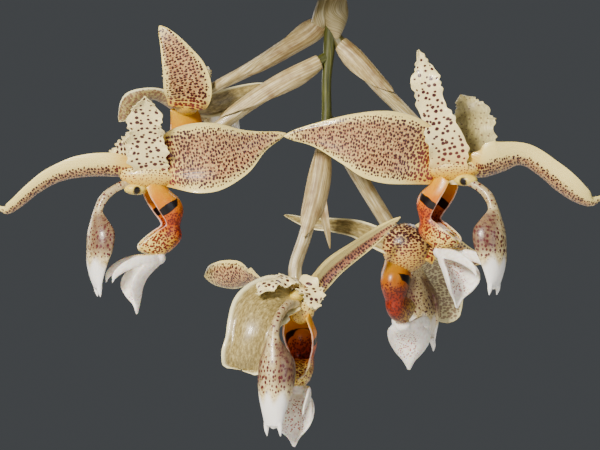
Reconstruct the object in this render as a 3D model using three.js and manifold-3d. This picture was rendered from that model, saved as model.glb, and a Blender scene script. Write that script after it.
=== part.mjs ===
// A Stanhopea orchid in a slatted wooden hanging basket, with one pendent spray of five flowers.
// Millimetres, +Z up. The origin is the point inside the hook's crook that bears on the rail.
// -Y is the side from which the spray is pictured.
import * as THREE from "three";
import { mergeVertices } from "three/addons/utils/BufferGeometryUtils.js";
import Module from "manifold-3d";

const wasm = await Module();
wasm.setup();

// Driving dimensions of the basket and its hanger.
const GAP = 0.35; // the gap left between pieces that touch
const ROD = 16; // square section of the side rods
const ROD_LENGTH = 188;
const ROD_INSET = 78; // rod axes and corner wires, from the basket's middle
const COURSES = 4; // courses of two rods, laid crosswise
const BASKET_TOP = -300;
const BASKET_BOTTOM = BASKET_TOP - COURSES * ROD;
const SLAT = { width: 14, height: 8, places: [-50, -18, 18, 50] };
const WIRE = 1.2; // radius of the four corner wires
const WIRE_HOLE = 1.8;
const HOOK = { wire: 2, crook: 14 }; // radii of the hook's wire and of its crook's middle line
const COLLAR = { radius: 7.5, top: -32, bottom: -48, socket: 3.2, depth: 10 };

// Driving dimensions of the plant.
const SPRAY_TOP = BASKET_BOTTOM - 22; // where the spray's drop is measured from
const STEM_X = 166.5; // the stem, from the left tip of the spray
const TEPAL = 0.9; // thickness of sepals
const PETAL = 1.0;
const FINEST = 0.04; // what a facet may depart from the shape when slivers are merged
const EDGE_GROWTH = 0.08; // how much wider a boat-shaped wall is cut, for each millimetre of gap
const MEDIUM = { half: ROD_INSET - ROD / 2 - 0.5, top: -309, mound: 7 };

// A place in the spray, given as [from the left tip, behind the stem, drop], in the part's frame.
const spot = ([x, behind, drop]) => new THREE.Vector3(x - STEM_X, behind, SPRAY_TOP - drop);

// A number on the smooth curve through evenly spaced values, at t from 0 to 1.
function along(values, t) {
  const last = values.length - 1;
  const i = Math.min(Math.floor(t * last), last - 1);
  const f = t * last - i;
  const b = values[i];
  const c = values[i + 1];
  const a = i > 0 ? values[i - 1] : 2 * b - c;
  const d = i + 1 < last ? values[i + 2] : 2 * c - b;
  return b + 0.5 * f * (c - a + f * (2 * a - 5 * b + 4 * c - d + f * (3 * (b - c) + d - a)));
}

const alongPoints = (points, t) =>
  new THREE.Vector3(...["x", "y", "z"].map((axis) => along(points.map((p) => p[axis]), t)));

function tangent(points, t) {
  const step = 0.01;
  const ahead = alongPoints(points, Math.min(1, t + step));
  return ahead.sub(alongPoints(points, Math.max(0, t - step))).normalize();
}

// A closed solid from triangles given as indices into points.
function solidFrom(points, faces) {
  const mesh = new wasm.Mesh({
    numProp: 3,
    vertProperties: new Float32Array(points.flatMap((p) => [p.x, p.y, p.z])),
    triVerts: new Uint32Array(faces.flat()),
  });
  return new wasm.Manifold(mesh);
}

// The same, with its triangles turned where they face inwards.
function outward(points, faces) {
  const solid = solidFrom(points, faces);
  return solid.volume() < 0 ? solidFrom(points, faces.map(([a, b, c]) => [a, c, b])) : solid;
}

function solidOf(geometry) {
  const bare = geometry.clone();
  bare.deleteAttribute("normal");
  bare.deleteAttribute("uv");
  const merged = mergeVertices(bare, 1e-4);
  const position = merged.getAttribute("position").array;
  return new wasm.Manifold(
    new wasm.Mesh({
      numProp: 3,
      vertProperties: new Float32Array(position),
      triVerts: new Uint32Array(merged.index.array),
    }),
  );
}

function geometryOf(solid) {
  const mesh = solid.getMesh();
  return new THREE.BufferGeometry()
    .setAttribute("position", new THREE.BufferAttribute(new Float32Array(mesh.vertProperties), 3))
    .setIndex(new THREE.BufferAttribute(new Uint32Array(mesh.triVerts), 1));
}

// Trimming can leave crumbs beside a piece, so only its largest body is kept.
function largest(solid) {
  return solid.decompose().reduce((best, one) => (one.volume() > best.volume() ? one : best));
}

// A closed slab between two grids of points, each given row by row.
function slab(tops, lows, long, wide) {
  const top = (i, j) => i * (wide + 1) + j;
  const low = (i, j) => tops.length + top(i, j);
  const faces = [];
  const quad = (a, b, c, d) => faces.push([a, b, c], [a, c, d]);
  for (let i = 0; i < long; i++)
    for (let j = 0; j < wide; j++) {
      quad(top(i, j), top(i, j + 1), top(i + 1, j + 1), top(i + 1, j));
      faces.push([low(i, j), low(i + 1, j + 1), low(i, j + 1)]);
      faces.push([low(i, j), low(i + 1, j), low(i + 1, j + 1)]);
    }
  for (let i = 0; i < long; i++) {
    quad(top(i, 0), top(i + 1, 0), low(i + 1, 0), low(i, 0));
    quad(top(i + 1, wide), top(i, wide), low(i, wide), low(i + 1, wide));
  }
  for (let j = 0; j < wide; j++) {
    quad(top(0, j + 1), top(0, j), low(0, j), low(0, j + 1));
    quad(top(long, j), top(long, j + 1), low(long, j + 1), low(long, j));
  }
  return outward([...tops, ...lows], faces);
}

// How far row i of a slab moves along it, so that a grown slab is longer at both ends too.
const endGrowth = (i, last, grow) => (i === 0 ? -grow : i === last ? grow : 0);

// A thin organ such as a sepal, a petal or a leaf. mid is its midrib, face the way its inner side
// looks at evenly spaced places, half its half width and cup half the angle that its section bends
// through.
function blade(spec, grow = 0) {
  const { mid, face, half, cup = [0, 0], thick = [TEPAL, TEPAL], rim = 0.8 } = spec;
  const { long = 8, wide = 5, wave = 0, waves = 5, tooth = 0, pleat = 0, deep = 1 } = spec;
  const tops = [];
  const lows = [];
  for (let i = 0; i <= long; i++) {
    const t = i / long;
    const centre = alongPoints(mid, t);
    const run = tangent(mid, t);
    const side = run.clone().cross(alongPoints(face, t)).normalize();
    const up = side.clone().cross(run);
    const bend = (along(cup, t) * Math.PI) / 180;
    const reach = along(half, t) + grow;
    for (let j = 0; j <= wide; j++) {
      const u = -1 + (2 * j) / wide;
      const swing = 2 * Math.PI * waves * t + (u < 0 ? 1.3 : 0);
      const width = reach * (1 + tooth * Math.sin(swing * 1.7));
      const turn = u * bend;
      const flat = Math.abs(bend) < 0.02;
      const across = flat ? u * width : (width / bend) * Math.sin(turn);
      const rise = flat ? 0 : (width / bend) * (1 - Math.cos(turn)) * deep;
      const lift = rise + wave * Math.abs(u) ** 1.5 * Math.sin(swing) + (j % 2 ? pleat : -pleat);
      const out = up.clone().multiplyScalar(Math.cos(turn)).addScaledVector(side, -Math.sin(turn));
      const body = (along(thick, t) / 2) * (rim + (1 - rim) * (1 - u * u)) + grow;
      const at = centre.clone().addScaledVector(side, across).addScaledVector(up, lift);
      at.addScaledVector(run, endGrowth(i, long, grow));
      tops.push(at.clone().addScaledVector(out, body));
      lows.push(at.addScaledVector(out, -body));
    }
  }
  return slab(tops, lows, long, wide);
}

// A round stem or wire along centres, with one radius for each. flat squeezes it along the hint.
function tube(centres, radii, sides, hint, flat = 1) {
  const points = [];
  const last = centres.length - 1;
  centres.forEach((centre, i) => {
    const run = centres[Math.min(last, i + 1)].clone().sub(centres[Math.max(0, i - 1)]).normalize();
    const side = run.clone().cross(hint).normalize();
    const up = side.clone().cross(run);
    for (let k = 0; k < sides; k++) {
      const turn = (2 * Math.PI * (k + 0.5)) / sides;
      points.push(
        centre
          .clone()
          .addScaledVector(side, radii[i] * Math.cos(turn))
          .addScaledVector(up, radii[i] * flat * Math.sin(turn)),
      );
    }
  });
  const faces = [];
  for (let i = 0; i < last; i++)
    for (let k = 0; k < sides; k++) {
      const a = i * sides + k;
      const b = i * sides + ((k + 1) % sides);
      faces.push([a, b + sides, b], [a, a + sides, b + sides]);
    }
  for (let k = 1; k < sides - 1; k++) {
    faces.push([0, k, k + 1]);
    faces.push([last * sides, last * sides + k + 1, last * sides + k]);
  }
  return outward(points, faces);
}

function smoothTube(mid, radii, rings, sides, hint, grow = 0, flat = 1) {
  const steps = Array.from({ length: rings + 1 }, (_, i) => i / rings);
  const centres = steps.map((t) => alongPoints(mid, t));
  return tube(centres, steps.map((t) => along(radii, t) + grow), sides, hint, flat);
}

// An egg with its three half sizes along three axes.
function egg(centre, sizes, axes, grow = 0, detail = [10, 7]) {
  const ball = new THREE.SphereGeometry(1, ...detail);
  const frame = new THREE.Matrix4().makeBasis(
    ...axes.map((axis, i) => axis.clone().multiplyScalar(sizes[i] + grow)),
  );
  ball.applyMatrix4(frame.setPosition(centre));
  return solidOf(ball);
}

const WORLD = [new THREE.Vector3(1, 0, 0), new THREE.Vector3(0, 1, 0), new THREE.Vector3(0, 0, 1)];

// The flowers. Each sepal and petal has its own midrib and the way its inner side looks.
// lip is where the lip and column spring from, yaw the column's side, seen from above, and tilt swings
// the lip and column away from hanging straight.
const FLOWERS = {
  left: {
    lip: [79, -8, 91], yaw: 196, columnYaw: 193, shieldYaw: 198, hornYaw: 196, tilt: 0,
    hip: [76.5, -6.5, 87.5], hipSize: [13.5, 6.5, 6.5],
    near: {
      mid: [
        [80, -12, 82], [94, -17, 79.5], [107, -19, 78.5], [119, -17, 76], [131, -13, 71],
        [143, -9, 67],
      ],
      face: [[0, -1, 0.2], [0, -1, 0.1]],
      half: [12, 17.6, 18.2, 13.2, 5.4, 1], cup: [30, 34, 34, 30, 25, 10],
    },
    far: {
      mid: [[80, -2, 82], [92, 10, 80], [102, 18, 79], [111, 25, 76], [119, 31, 72], [127, 36, 68]],
      face: [[0, 1, 0.2], [-0.3, 1, 0.1]],
      half: [11, 16, 17, 13, 6.5, 1], cup: [30, 34, 34, 30, 25, 10],
    },
    dorsal: {
      mid: [
        [70, -8, 86.8], [60, -8, 87], [50, -8, 87.2], [40, -8, 88], [32, -8, 89.6], [25, -8, 92.4],
        [18, -8, 96.8], [10, -8, 103.4], [4, -8, 106.5], [-1, -8, 103.5],
      ],
      face: [[0, -0.35, 1], [0, -0.3, 1]],
      half: [9, 13, 13.6, 12, 9.6, 8.6, 7.6, 6.8, 5, 1],
      cup: [-60, -80, -80, -80, -78, -75, -75, -72, -70, -60],
    },
    petal: {
      mid: [
        [77, -8, 92], [76, -14.5, 85.5], [74.8, -20, 76.5], [74, -26, 67], [74, -32, 58],
        [74.4, -38, 49.5],
      ],
      face: [[0, -1, 0.4], [0, -0.8, 0.6]],
      half: [4.5, 8.5, 10, 8.6, 7.8, 1.5], cup: [15, 18, 14, 10, 10, 20],
    },
    petalFar: {
      mid: [[72, -5, 82], [66, 2, 76], [60.5, 8, 75.5], [55, 14, 77]],
      face: [[-0.7, -0.7, 0.1], [-0.8, -0.5, 0.1]], half: [7, 9.2, 5, 1.2], cup: [15, 10, 10, 15],
    },
  },
  right: {
    lip: [220.5, -8, 88], yaw: -30, columnYaw: -29, shieldYaw: -50, hornYaw: -34, tilt: 0,
    arch: [219.5, -8, 90], foot: [13.2, 0, 2.2], hip: [224, -6.5, 84], hipSize: [13, 7, 6.5],
    near: {
      mid: [
        [219, -11, 80.5], [201, -18, 75], [187, -20, 72.8], [173, -19, 70], [157, -17, 68],
        [142, -16, 68.5],
      ],
      face: [[0, -1, 0.2], [0, -1, 0.1]],
      half: [13, 18.6, 18.4, 13, 6, 1.2], cup: [30, 34, 34, 30, 25, 20],
    },
    far: {
      mid: [
        [219, -5, 80], [205, 9, 76], [194, 18, 74], [185, 25, 72], [177, 31, 70], [169, 36, 68],
      ],
      face: [[0, 1, 0.2], [0.3, 1, 0.1]],
      half: [11, 16, 17, 13, 6.5, 1], cup: [30, 34, 34, 30, 25, 10],
    },
    dorsal: {
      mid: [
        [230, -8, 84], [240, -9, 87], [250, -9, 85], [260, -9, 82], [269.5, -9, 87.5],
        [279, -9, 95.5], [288, -9, 101], [295.5, -9, 102.5], [301, -9, 98],
      ],
      face: [[0, -0.5, 1], [0, -0.2, 1], [0, -0.2, 1]],
      half: [9, 16, 18, 13, 13.5, 15, 12, 6.5, 1],
      cup: [-60, -80, -80, -80, -80, -78, -75, -70, -60],
    },
    petal: {
      mid: [
        [226, -8, 90], [224.4, -15, 82], [222, -19, 71], [217.6, -20.5, 60], [213.8, -21, 50],
        [212, -20, 41], [210.8, -19, 33.5], [208.6, -18, 26],
      ],
      face: [[0, -1, 0.1], [0, -1, 0]],
      half: [4.5, 9.4, 9.4, 7.6, 6.8, 7.4, 3.8, 0.6], cup: [15, 20, 16, 12, 8, 10, 20],
    },
    petalFar: {
      mid: [[229.5, -4, 80.5], [236, 4, 67], [236, 9, 57], [231, 13, 47]],
      face: [[0.3, 1, 0.1], [0, 1, 0.2]], half: [8, 11.5, 9.5, 2.5], cup: [15, 12, 10, 15],
    },
  },
  front: {
    lip: [149.5, -22, 155.4], yaw: 257, columnYaw: 241, shieldYaw: 257, hornYaw: 257, tilt: 0,
    arch: [151.5, -22, 150.5], foot: [3, 0, -8], stretch: [1, 0.86, 1.13],
    hip: [152, -18, 150], hipSize: [8, 9, 7],
    near: {
      mid: [
        [154, -18, 146.5], [163.5, -13, 135], [174.5, -10, 126], [187, -8, 117.2],
        [200, -7, 108.6],
      ],
      face: [[0.3, -0.8, 0.6], [0.2, -0.8, 0.6]],
      half: [7, 8, 7.6, 5.2, 1], cup: [50, 60, 65, 60, 50],
    },
    far: {
      mid: [[149, -16, 149], [134, -4, 142], [121, 6, 139.5], [111, 16, 139.5], [101.5, 27, 138.5]],
      face: [[0.2, 0.7, -0.8], [-0.2, -0.5, 0.8], [-0.2, -0.8, 0.5], [-0.2, -0.9, 0.3]],
      half: [7, 8, 9.5, 9.5, 4.5], cup: [40, 40, -50, -50, -30],
    },
    dorsal: {
      mid: [
        [147, -25, 149], [138.5, -32, 147.5], [131, -38, 152.5], [126.5, -42, 160.5],
        [124.2, -43.5, 169.5], [122.4, -42, 177], [121.6, -37, 183],
      ],
      face: [[0.2, 1, 0.6], [0.3, 1, 0.1], [0.2, 0.8, -0.4]],
      half: [8, 14.4, 16.6, 14.6, 12.8, 12, 9.4], cup: [20, 40, 48, 48, 45, 40, 30],
    },
    petal: {
      mid: [[152, -20, 143], [147, -26, 139], [140, -31, 139], [133, -36, 142], [130, -40, 147]],
      face: [[0, -0.5, -1], [-0.5, -0.6, -0.8]],
      half: [7, 6.5, 6, 5.5, 1.5], cup: [-15, -25, -30, -30, -20],
    },
    petalFar: {
      mid: [[150.5, -21, 147], [153.5, -26, 143.5], [156, -31, 147], [156.5, -34, 154]],
      face: [[0.3, -1, -0.4], [0.4, -1, 0.2]], half: [4.5, 6, 6, 2], cup: [15, 20, 20, 15],
    },
  },
  back: {
    lip: [198, 14, 126.5], yaw: 66, columnYaw: 68, shieldYaw: 80, hornYaw: 76, tilt: -16,
    slim: [1, 0.85, 1],
    arch: [198.5, 14, 131], hip: [203.5, 15, 124], hipSize: [12, 10, 12.5],
    near: {
      mid: [
        [200, 16, 124], [190, 18, 119.5], [178, 20, 114.5], [166, 21, 112.4], [154, 22, 111.4],
        [142, 22, 107.5],
      ],
      face: [[0, 0.6, 0.8], [0, 0.9, 0.5], [0, 0.9, 0.4]],
      half: [9, 7.2, 5.6, 4.2, 2.8, 0.8], cup: [20, 30, 34, 30, 25, 10],
    },
    far: {
      mid: [[209, 12, 128], [214, 15, 119], [224, 22, 124], [236, 28, 129], [249, 33, 131]],
      face: [[0.1, -1, 0], [0.3, -1, 0.2], [0, -0.8, 0.6]],
      half: [9, 9, 8, 5, 1], cup: [20, 30, 30, 30, 10],
    },
    dorsal: {
      mid: [[210, 26, 126], [218, 40, 129], [223.5, 50, 139], [225.5, 54, 151], [226.5, 54, 163]],
      face: [[0.1, 1, -0.5], [0.2, 1, -0.1], [0.2, 1, 0]],
      half: [8, 10, 9.6, 9.6, 6], cup: [-20, -28, -30, -30, -20],
    },
    petal: {
      mid: [[199, 22, 118], [197, 33, 114], [196, 44, 111], [197, 54, 110]],
      face: [[-1, 0, 0.4], [-1, 0, 0.3]], half: [6, 7, 6, 1.5], cup: [15, 10, 10, 10],
    },
    petalFar: {
      mid: [[208, 22, 120], [212, 34, 119], [215, 45, 119], [219, 54, 120]],
      face: [[0.4, 0, -1], [0.4, 0, -1]], half: [6, 7, 6, 1.5], cup: [15, 10, 10, 10],
    },
  },
  upper: {
    lip: [88.5, 38, 55], yaw: 65, columnYaw: 65, shieldYaw: 65, hornYaw: 65, tilt: -52,
    hip: [92, 36.5, 51.5], hipSize: [6.5, 7.5, 5],
    near: {
      mid: [
        [92.5, 31, 52], [93.2, 26, 45], [91.6, 23, 36], [88, 22, 27.5], [83.6, 22, 19],
        [78.8, 23, 11.5],
      ],
      face: [[0, -1, 0.1], [0, -1, 0.1]],
      half: [10, 12.6, 12, 9, 5.4, 1.5], cup: [25, 30, 30, 28, 30, 30],
    },
    far: {
      mid: [[95, 42, 51], [105, 47, 50.5], [116, 51, 46.5], [127, 54, 42.5], [137, 56, 40]],
      face: [[0.2, 1, -0.3], [0, 1, 0]], half: [6, 6.6, 5.6, 3.6, 1], cup: [20, 25, 25, 25, 10],
    },
    dorsal: {
      mid: [[86.5, 37, 51.5], [76, 34, 47.5], [68, 33, 49.5], [62, 34, 53.5], [57.5, 36, 59.5]],
      face: [[0, 0.5, -1], [0.3, 0.5, -1], [0.8, 0.4, -0.6]],
      half: [6, 7, 7.4, 5.6, 1.5], cup: [30, 50, 60, 55, 40],
    },
    petal: {
      mid: [[89.5, 38.5, 48], [87, 38, 39], [85.5, 37, 32], [85, 37, 26]],
      face: [[0, -1, 0.2], [0, -1, 0.1]], half: [5, 6, 5.5, 1.5], cup: [15, 10, 10, 10],
    },
    petalFar: {
      mid: [[92, 46, 45], [95, 54, 39], [98, 61, 34], [102, 68, 30]],
      face: [[0.3, 1, 0.5], [0.4, 0.8, 0.6]], half: [6, 7, 6, 1.5], cup: [15, 10, 10, 10],
    },
  },
};

// The lip and the column lie in the flower's plane of symmetry. ahead is towards the column,
// aside is out of the plane and drop is down. A boat-shaped part is given by its keel and its rim,
// as [ahead, drop], and by its half width. steep pulls its sides in towards the keel, and opening
// is how far round they go, in radians. The shield and the horns turn about the pivot.
const LIP = {
  pouch: {
    keel: [
      [-1, -3], [-5.2, 4.2], [-10.4, 8.8], [-12.4, 14], [-11.4, 19], [-10.7, 22.3], [-11.6, 27],
      [-9.2, 31], [-3.5, 35], [3, 35.6], [7.6, 34],
    ],
    rim: [
      [7, 3], [5.2, 7.5], [3.2, 11], [0.5, 15], [-2.2, 18.8], [-3, 21.5], [0.5, 24], [4.5, 27],
      [8, 30], [9.2, 31.6], [9.4, 32.6],
    ],
    wide: [5.5, 7, 7.8, 7.5, 6.5, 5.6, 5.8, 6, 5.2, 3.6, 1.6],
    thick: [1.8, 1.8], opening: 2, steep: 1, long: 6, across: 4,
  },
  shield: {
    keel: [[-1, 39.5], [3, 43.5], [6.5, 47.5], [8.5, 52], [9.2, 56.5], [9.8, 61], [10.4, 65.5]],
    rim: [[4.5, 39], [10, 42.5], [14.5, 46.5], [16.2, 52], [14.4, 57], [12, 61], [10.8, 66]],
    wide: [4, 8.6, 10.8, 10.4, 7.2, 3, 0.3],
    thick: [3, 2.2, 1.8, 1.6, 1.6, 1.4, 1.2], opening: 1.35, steep: 1.2, long: 4, across: 4,
  },
  pivot: [2, 0, 40],
  belly: { at: [-1.5, 0, 30.2], sizes: [8.2, 5.6, 4.6] },
  foot: { at: [10.6, 0, 3.6], sizes: [6.4, 4.2, 3] },
  heart: { at: [-0.6, 0, 37.4], sizes: [3.8, 4.2, 4.6] },
  horn: [
    [-1.5, 2, 38.8], [4, 5.4, 38.6], [11, 7.6, 39.4], [18, 8.4, 42], [23, 8, 46], [24.6, 7.4, 50.5],
  ],
  hornRadius: [1.8, 2.7, 2.8, 2.4, 1.6, 0.6],
  hornFlat: 0.45,
};
const COLUMN = {
  keel: [
    [6, 0.5], [14.5, 0.4], [21.3, 3.2], [27, 7.5], [30, 13.6], [32, 19.8], [33.5, 26], [34, 33],
    [34, 40], [32.8, 46.8], [30.8, 52.6],
  ],
  rim: [
    [6.5, 2.5], [14.7, 2.8], [20.4, 5], [25, 9], [28, 14.6], [26, 19], [23.2, 25], [24, 33],
    [26.4, 40], [28.2, 47.3], [29.2, 53],
  ],
  wide: [1.4, 1.3, 1.4, 1.6, 2.4, 5.6, 9.4, 10.2, 8.6, 6.4, 5],
  thick: [3.6, 3.6, 3.4, 3.4, 3.4, 3.2, 3.2, 2.8, 2.8, 2.4, 1.8],
  opening: 1.75, steep: 1, long: 8, across: 4,
};

// Places on an organ that turns about pivot, which lies at root, and its three directions.
function organFrame(root, yaw, tilt, pivot = [0, 0, 0], stretch = [1, 1, 1]) {
  const turn = THREE.MathUtils.degToRad;
  const spin = new THREE.Matrix4().makeRotationZ(turn(yaw));
  spin.multiply(new THREE.Matrix4().makeRotationY(turn(tilt)));
  const way = (ahead, aside, drop) => new THREE.Vector3(ahead, aside, -drop).applyMatrix4(spin);
  const at = (place) => way(...place.map((p, i) => (p - pivot[i]) * stretch[i])).add(root);
  return { way, at };
}

// A boat-shaped wall between a keel and its two rims.
function hull(spec, at, grow = 0) {
  const { keel, rim, wide, thick, opening, steep, long, across } = spec;
  const place = (t, u) => {
    const round = Math.abs(u);
    const climb = Math.max(0, 1 - Math.cos((round * Math.PI) / 2)) ** steep;
    const [ahead, drop] = [0, 1].map((axis) => {
      const low = along(keel.map((p) => p[axis]), t);
      return low + (along(rim.map((p) => p[axis]), t) - low) * climb;
    });
    return at([ahead, along(wide, t) * Math.sin(round * opening) * Math.sign(u), drop]);
  };
  const step = 0.01;
  const tops = [];
  const lows = [];
  for (let i = 0; i <= long; i++) {
    const t = i / long;
    const before = Math.max(0, t - step);
    const after = Math.min(1, t + step);
    for (let j = 0; j <= across; j++) {
      const u = ((2 * j) / across - 1) * (1 + grow * EDGE_GROWTH);
      const point = place(t, u);
      const run = place(after, u).sub(place(before, u));
      const out = place(t, u + step).sub(place(t, u - step)).cross(run).normalize();
      const body = along(thick, t) / 2 + grow;
      point.addScaledVector(run.normalize(), endGrowth(i, long, grow));
      tops.push(point.clone().addScaledVector(out, body));
      lows.push(point.addScaledVector(out, -body));
    }
  }
  return slab(tops, lows, long, across);
}

function lipSolid(flower, grow = 0) {
  const { lip, yaw, tilt, shieldYaw, hornYaw, foot = LIP.foot.at, slim = [1, 1, 1] } = flower;
  const boat = organFrame(spot(lip), yaw, tilt, [0, 0, 0], slim);
  const pouch = organFrame(spot(lip), yaw, tilt);
  const joint = pouch.at(LIP.pivot);
  const shield = organFrame(joint, shieldYaw, tilt, LIP.pivot);
  const splayed = organFrame(joint, hornYaw, tilt, LIP.pivot);
  const axes = [pouch.way(1, 0, 0), pouch.way(0, 1, 0), pouch.way(0, 0, -1)];
  const swelling = (at, sizes) => egg(pouch.at(at), sizes, axes, grow, [6, 4]);
  const parts = [
    swelling(LIP.belly.at, LIP.belly.sizes.map((size, i) => size * slim[i])),
    swelling(foot, LIP.foot.sizes),
    swelling(LIP.heart.at, LIP.heart.sizes),
    hull(LIP.shield, shield.at, grow),
  ];
  for (const hand of [-1, 1]) {
    const mid = LIP.horn.map(([ahead, aside, drop]) => splayed.at([ahead, aside * hand, drop]));
    const hint = splayed.way(0, 1, 0);
    parts.push(smoothTube(mid, LIP.hornRadius, 4, 4, hint, grow, LIP.hornFlat));
  }
  return parts.reduce((whole, one) => whole.add(one), hull(LIP.pouch, boat.at, grow));
}

function columnSolid(flower, grow = 0) {
  const { lip, arch = lip, columnYaw, tilt, stretch } = flower;
  return hull(COLUMN, organFrame(spot(arch), columnYaw, tilt, [0, 0, 0], stretch).at, grow);
}

// Points and directions of a sepal or petal, from the spray's measures to the part's frame.
function tepal(spec, extra = {}) {
  const faceOf = ([x, behind, drop]) => new THREE.Vector3(x, behind, -drop);
  return { ...spec, mid: spec.mid.map(spot), face: spec.face.map(faceOf), ...extra };
}

const SEPAL_MESH = { long: 7, wide: 4 };
const PETAL_MESH = { long: 10, wide: 3, wave: 1.6, waves: 3.2, tooth: 0.12, thick: [PETAL, PETAL] };

function hipSolid({ hip, hipSize }, grow = 0) {
  return egg(spot(hip), hipSize, WORLD, grow, [8, 5]);
}

function lateralSolid(flower, grow = 0) {
  return hipSolid(flower, grow)
    .add(blade(tepal(flower.near, SEPAL_MESH), grow))
    .add(blade(tepal(flower.far, SEPAL_MESH), grow));
}

// The stem of the spray, with the stalk and ovary of each flower.
const STALKS = {
  main: {
    mid: [
      [166.5, 0, -52], [166.5, 0, -22], [166.5, 0, 2], [165, 0, 20], [163.3, 0, 40], [163.3, 0, 58],
      [162, 0, 74],
    ],
    radius: [4.4, 4.4, 4.2, 3.2, 2.4, 2.5, 2.8], rings: 7,
  },
  upper: {
    mid: [
      [165, 1, 6], [158, 3, 13.5], [144, 10, 22], [125.5, 20, 33], [106, 31, 42.5], [93, 37, 50],
    ],
    radius: [3, 3.8, 3.8, 3.4, 2.8, 3.4], rings: 6,
  },
  left: {
    mid: [
      [164, 0, 28], [152, -2, 36], [137.5, -2, 44], [122, -1, 54], [106, 0, 66], [92, -2, 76],
      [80, -6, 83],
    ],
    radius: [2.5, 3.2, 3.5, 3.4, 3.2, 3.3, 4], rings: 6,
  },
  right: {
    mid: [
      [166, 0, 16], [172, -1, 24], [181, -3, 34], [191, -4, 45], [201, -4, 55], [212, -4, 67],
      [221, -6, 79],
    ],
    radius: [2.5, 3.2, 3.5, 3.4, 3.2, 3.3, 4], rings: 6,
  },
  back: {
    mid: [[163, 0, 56], [167, 6, 68], [176, 12, 82], [186, 16, 98], [196, 19, 114], [203, 19, 123]],
    radius: [2.3, 3, 3.6, 3.7, 3.7, 4.2], rings: 6,
  },
  front: {
    mid: [
      [162.2, 0, 68], [160.5, -1, 84], [157.5, -4, 100], [152.5, -8, 118], [147.5, -12, 135],
      [151, -16, 147],
    ],
    radius: [2.7, 2.9, 3.1, 3.2, 3.3, 3.7], rings: 6,
  },
};

function stalkSolid(name, grow = 0) {
  const { mid, radius, rings } = STALKS[name];
  return smoothTube(mid.map(spot), radius, rings, 6, WORLD[1], grow);
}

// A papery bract that clasps a stalk from one side. way is the side, in the spray's measures.
const BRACTS = {
  upper: {
    from: 0.1, to: 0.62, way: [-0.3, -0.5, 0.8],
    spread: [150, 120, 80, 40, 10], room: [0, 1.1, 1, 0.7, 0.5],
  },
  left: {
    from: 0.06, to: 0.6, way: [-0.2, -0.7, -0.8],
    spread: [150, 140, 110, 70, 10], room: [0, 1, 0.9, 0.6, 0.4],
  },
  right: {
    from: 0.12, to: 0.56, way: [0.4, -0.7, -0.6],
    spread: [150, 140, 110, 70, 10], room: [0, 1, 0.9, 0.6, 0.4],
  },
  back: {
    from: 0.12, to: 0.5, way: [0.4, -0.6, -0.7],
    spread: [150, 120, 80, 40, 10], room: [0, 1.2, 1.1, 0.8, 0.5],
  },
  front: {
    from: 0.08, to: 0.62, way: [-0.1, -1, 0],
    spread: [150, 150, 120, 70, 8], room: [0, 1.7, 1.9, 1.3, 0.8],
  },
};

function bractSolid(name) {
  const { from, to, way, spread, room } = BRACTS[name];
  const { mid, radius } = STALKS[name];
  const paper = 0.7;
  const steps = [0, 0.2, 0.4, 0.6, 0.8, 1];
  const path = mid.map(spot);
  const look = new THREE.Vector3(way[0], way[1], -way[2]);
  const half = [];
  const cup = [];
  const ribs = steps.map((s) => {
    const t = from + (to - from) * s;
    const wall = along(radius, t) + GAP + paper / 2 + along(room, s);
    const open = Math.max(6, along(spread, s));
    const run = tangent(path, t);
    const side = look.clone().addScaledVector(run, -look.dot(run)).normalize();
    half.push((wall * open * Math.PI) / 180);
    cup.push(open);
    return alongPoints(path, t).addScaledVector(side, wall);
  });
  const inward = look.clone().negate();
  const thick = [paper, paper];
  return blade({ mid: ribs, face: [inward, inward], half, cup, thick, rim: 1, long: 5, wide: 5 });
}

// The two sheaths round the top of the spray, fused to the stem that they clasp.
function sheathSolids() {
  const outer = [[166, 0, -20], [166.5, -0.5, -6], [167.5, -1, 8], [168.5, -2, 20]].map(spot);
  const inner = [[163.5, 0, 2], [161, -1, 8], [158.5, -1.5, 13]].map(spot);
  return [
    smoothTube(outer, [5, 5.6, 6.6, 1.2], 6, 7, WORLD[1]),
    smoothTube(inner, [5, 4.6, 3.4], 2, 7, WORLD[1]),
  ];
}

// Growths: a ribbed pseudobulb with one pleated leaf on a stalk. turn is where the leaf leans,
// seen from above.
const GROWTHS = {
  right: { foot: [38, -6], turn: -6, size: 1, reach: 165, rise: 150, length: 1 },
  left: { foot: [-38, 4], turn: 184, size: 1.05, reach: 170, rise: 165, length: 1 },
  back: { foot: [6, 38], turn: 82, size: 0.95, reach: 140, rise: 170, length: 1 },
  front: { foot: [-8, -38], turn: 262, size: 0.9, reach: 130, rise: 120, length: 1 },
  young: { foot: [0, 0], turn: 0, size: 0.75, reach: 40, rise: 120, length: 0.65 },
};
const BULB = { height: 46, radius: 16, sunk: 8, ribs: 8, rib: 0.09 };

// A pseudobulb is a turned egg with blunt ribs, a little narrower at its neck.
function bulbSolid({ foot, size }) {
  const rings = 5;
  const sides = 16;
  const points = [];
  const faces = [];
  for (let i = 0; i <= rings; i++) {
    const s = i / rings;
    const wide = along([0.62, 0.95, 0.98, 0.78, 0.5, 0.24], s);
    for (let k = 0; k < sides; k++) {
      const turn = (2 * Math.PI * k) / sides;
      const ridge = 1 + BULB.rib * Math.cos(BULB.ribs * turn);
      const r = BULB.radius * size * wide * ridge;
      const z = MEDIUM.top - BULB.sunk + s * BULB.height * size;
      points.push(new THREE.Vector3(foot[0] + r * Math.cos(turn), foot[1] + r * Math.sin(turn), z));
    }
  }
  for (let i = 0; i < rings; i++)
    for (let k = 0; k < sides; k++) {
      const a = i * sides + k;
      const b = i * sides + ((k + 1) % sides);
      faces.push([a, b, b + sides], [a, b + sides, a + sides]);
    }
  for (let k = 1; k < sides - 1; k++) {
    faces.push([0, k + 1, k]);
    faces.push([rings * sides, rings * sides + k, rings * sides + k + 1]);
  }
  return solidFrom(points, faces);
}

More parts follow.
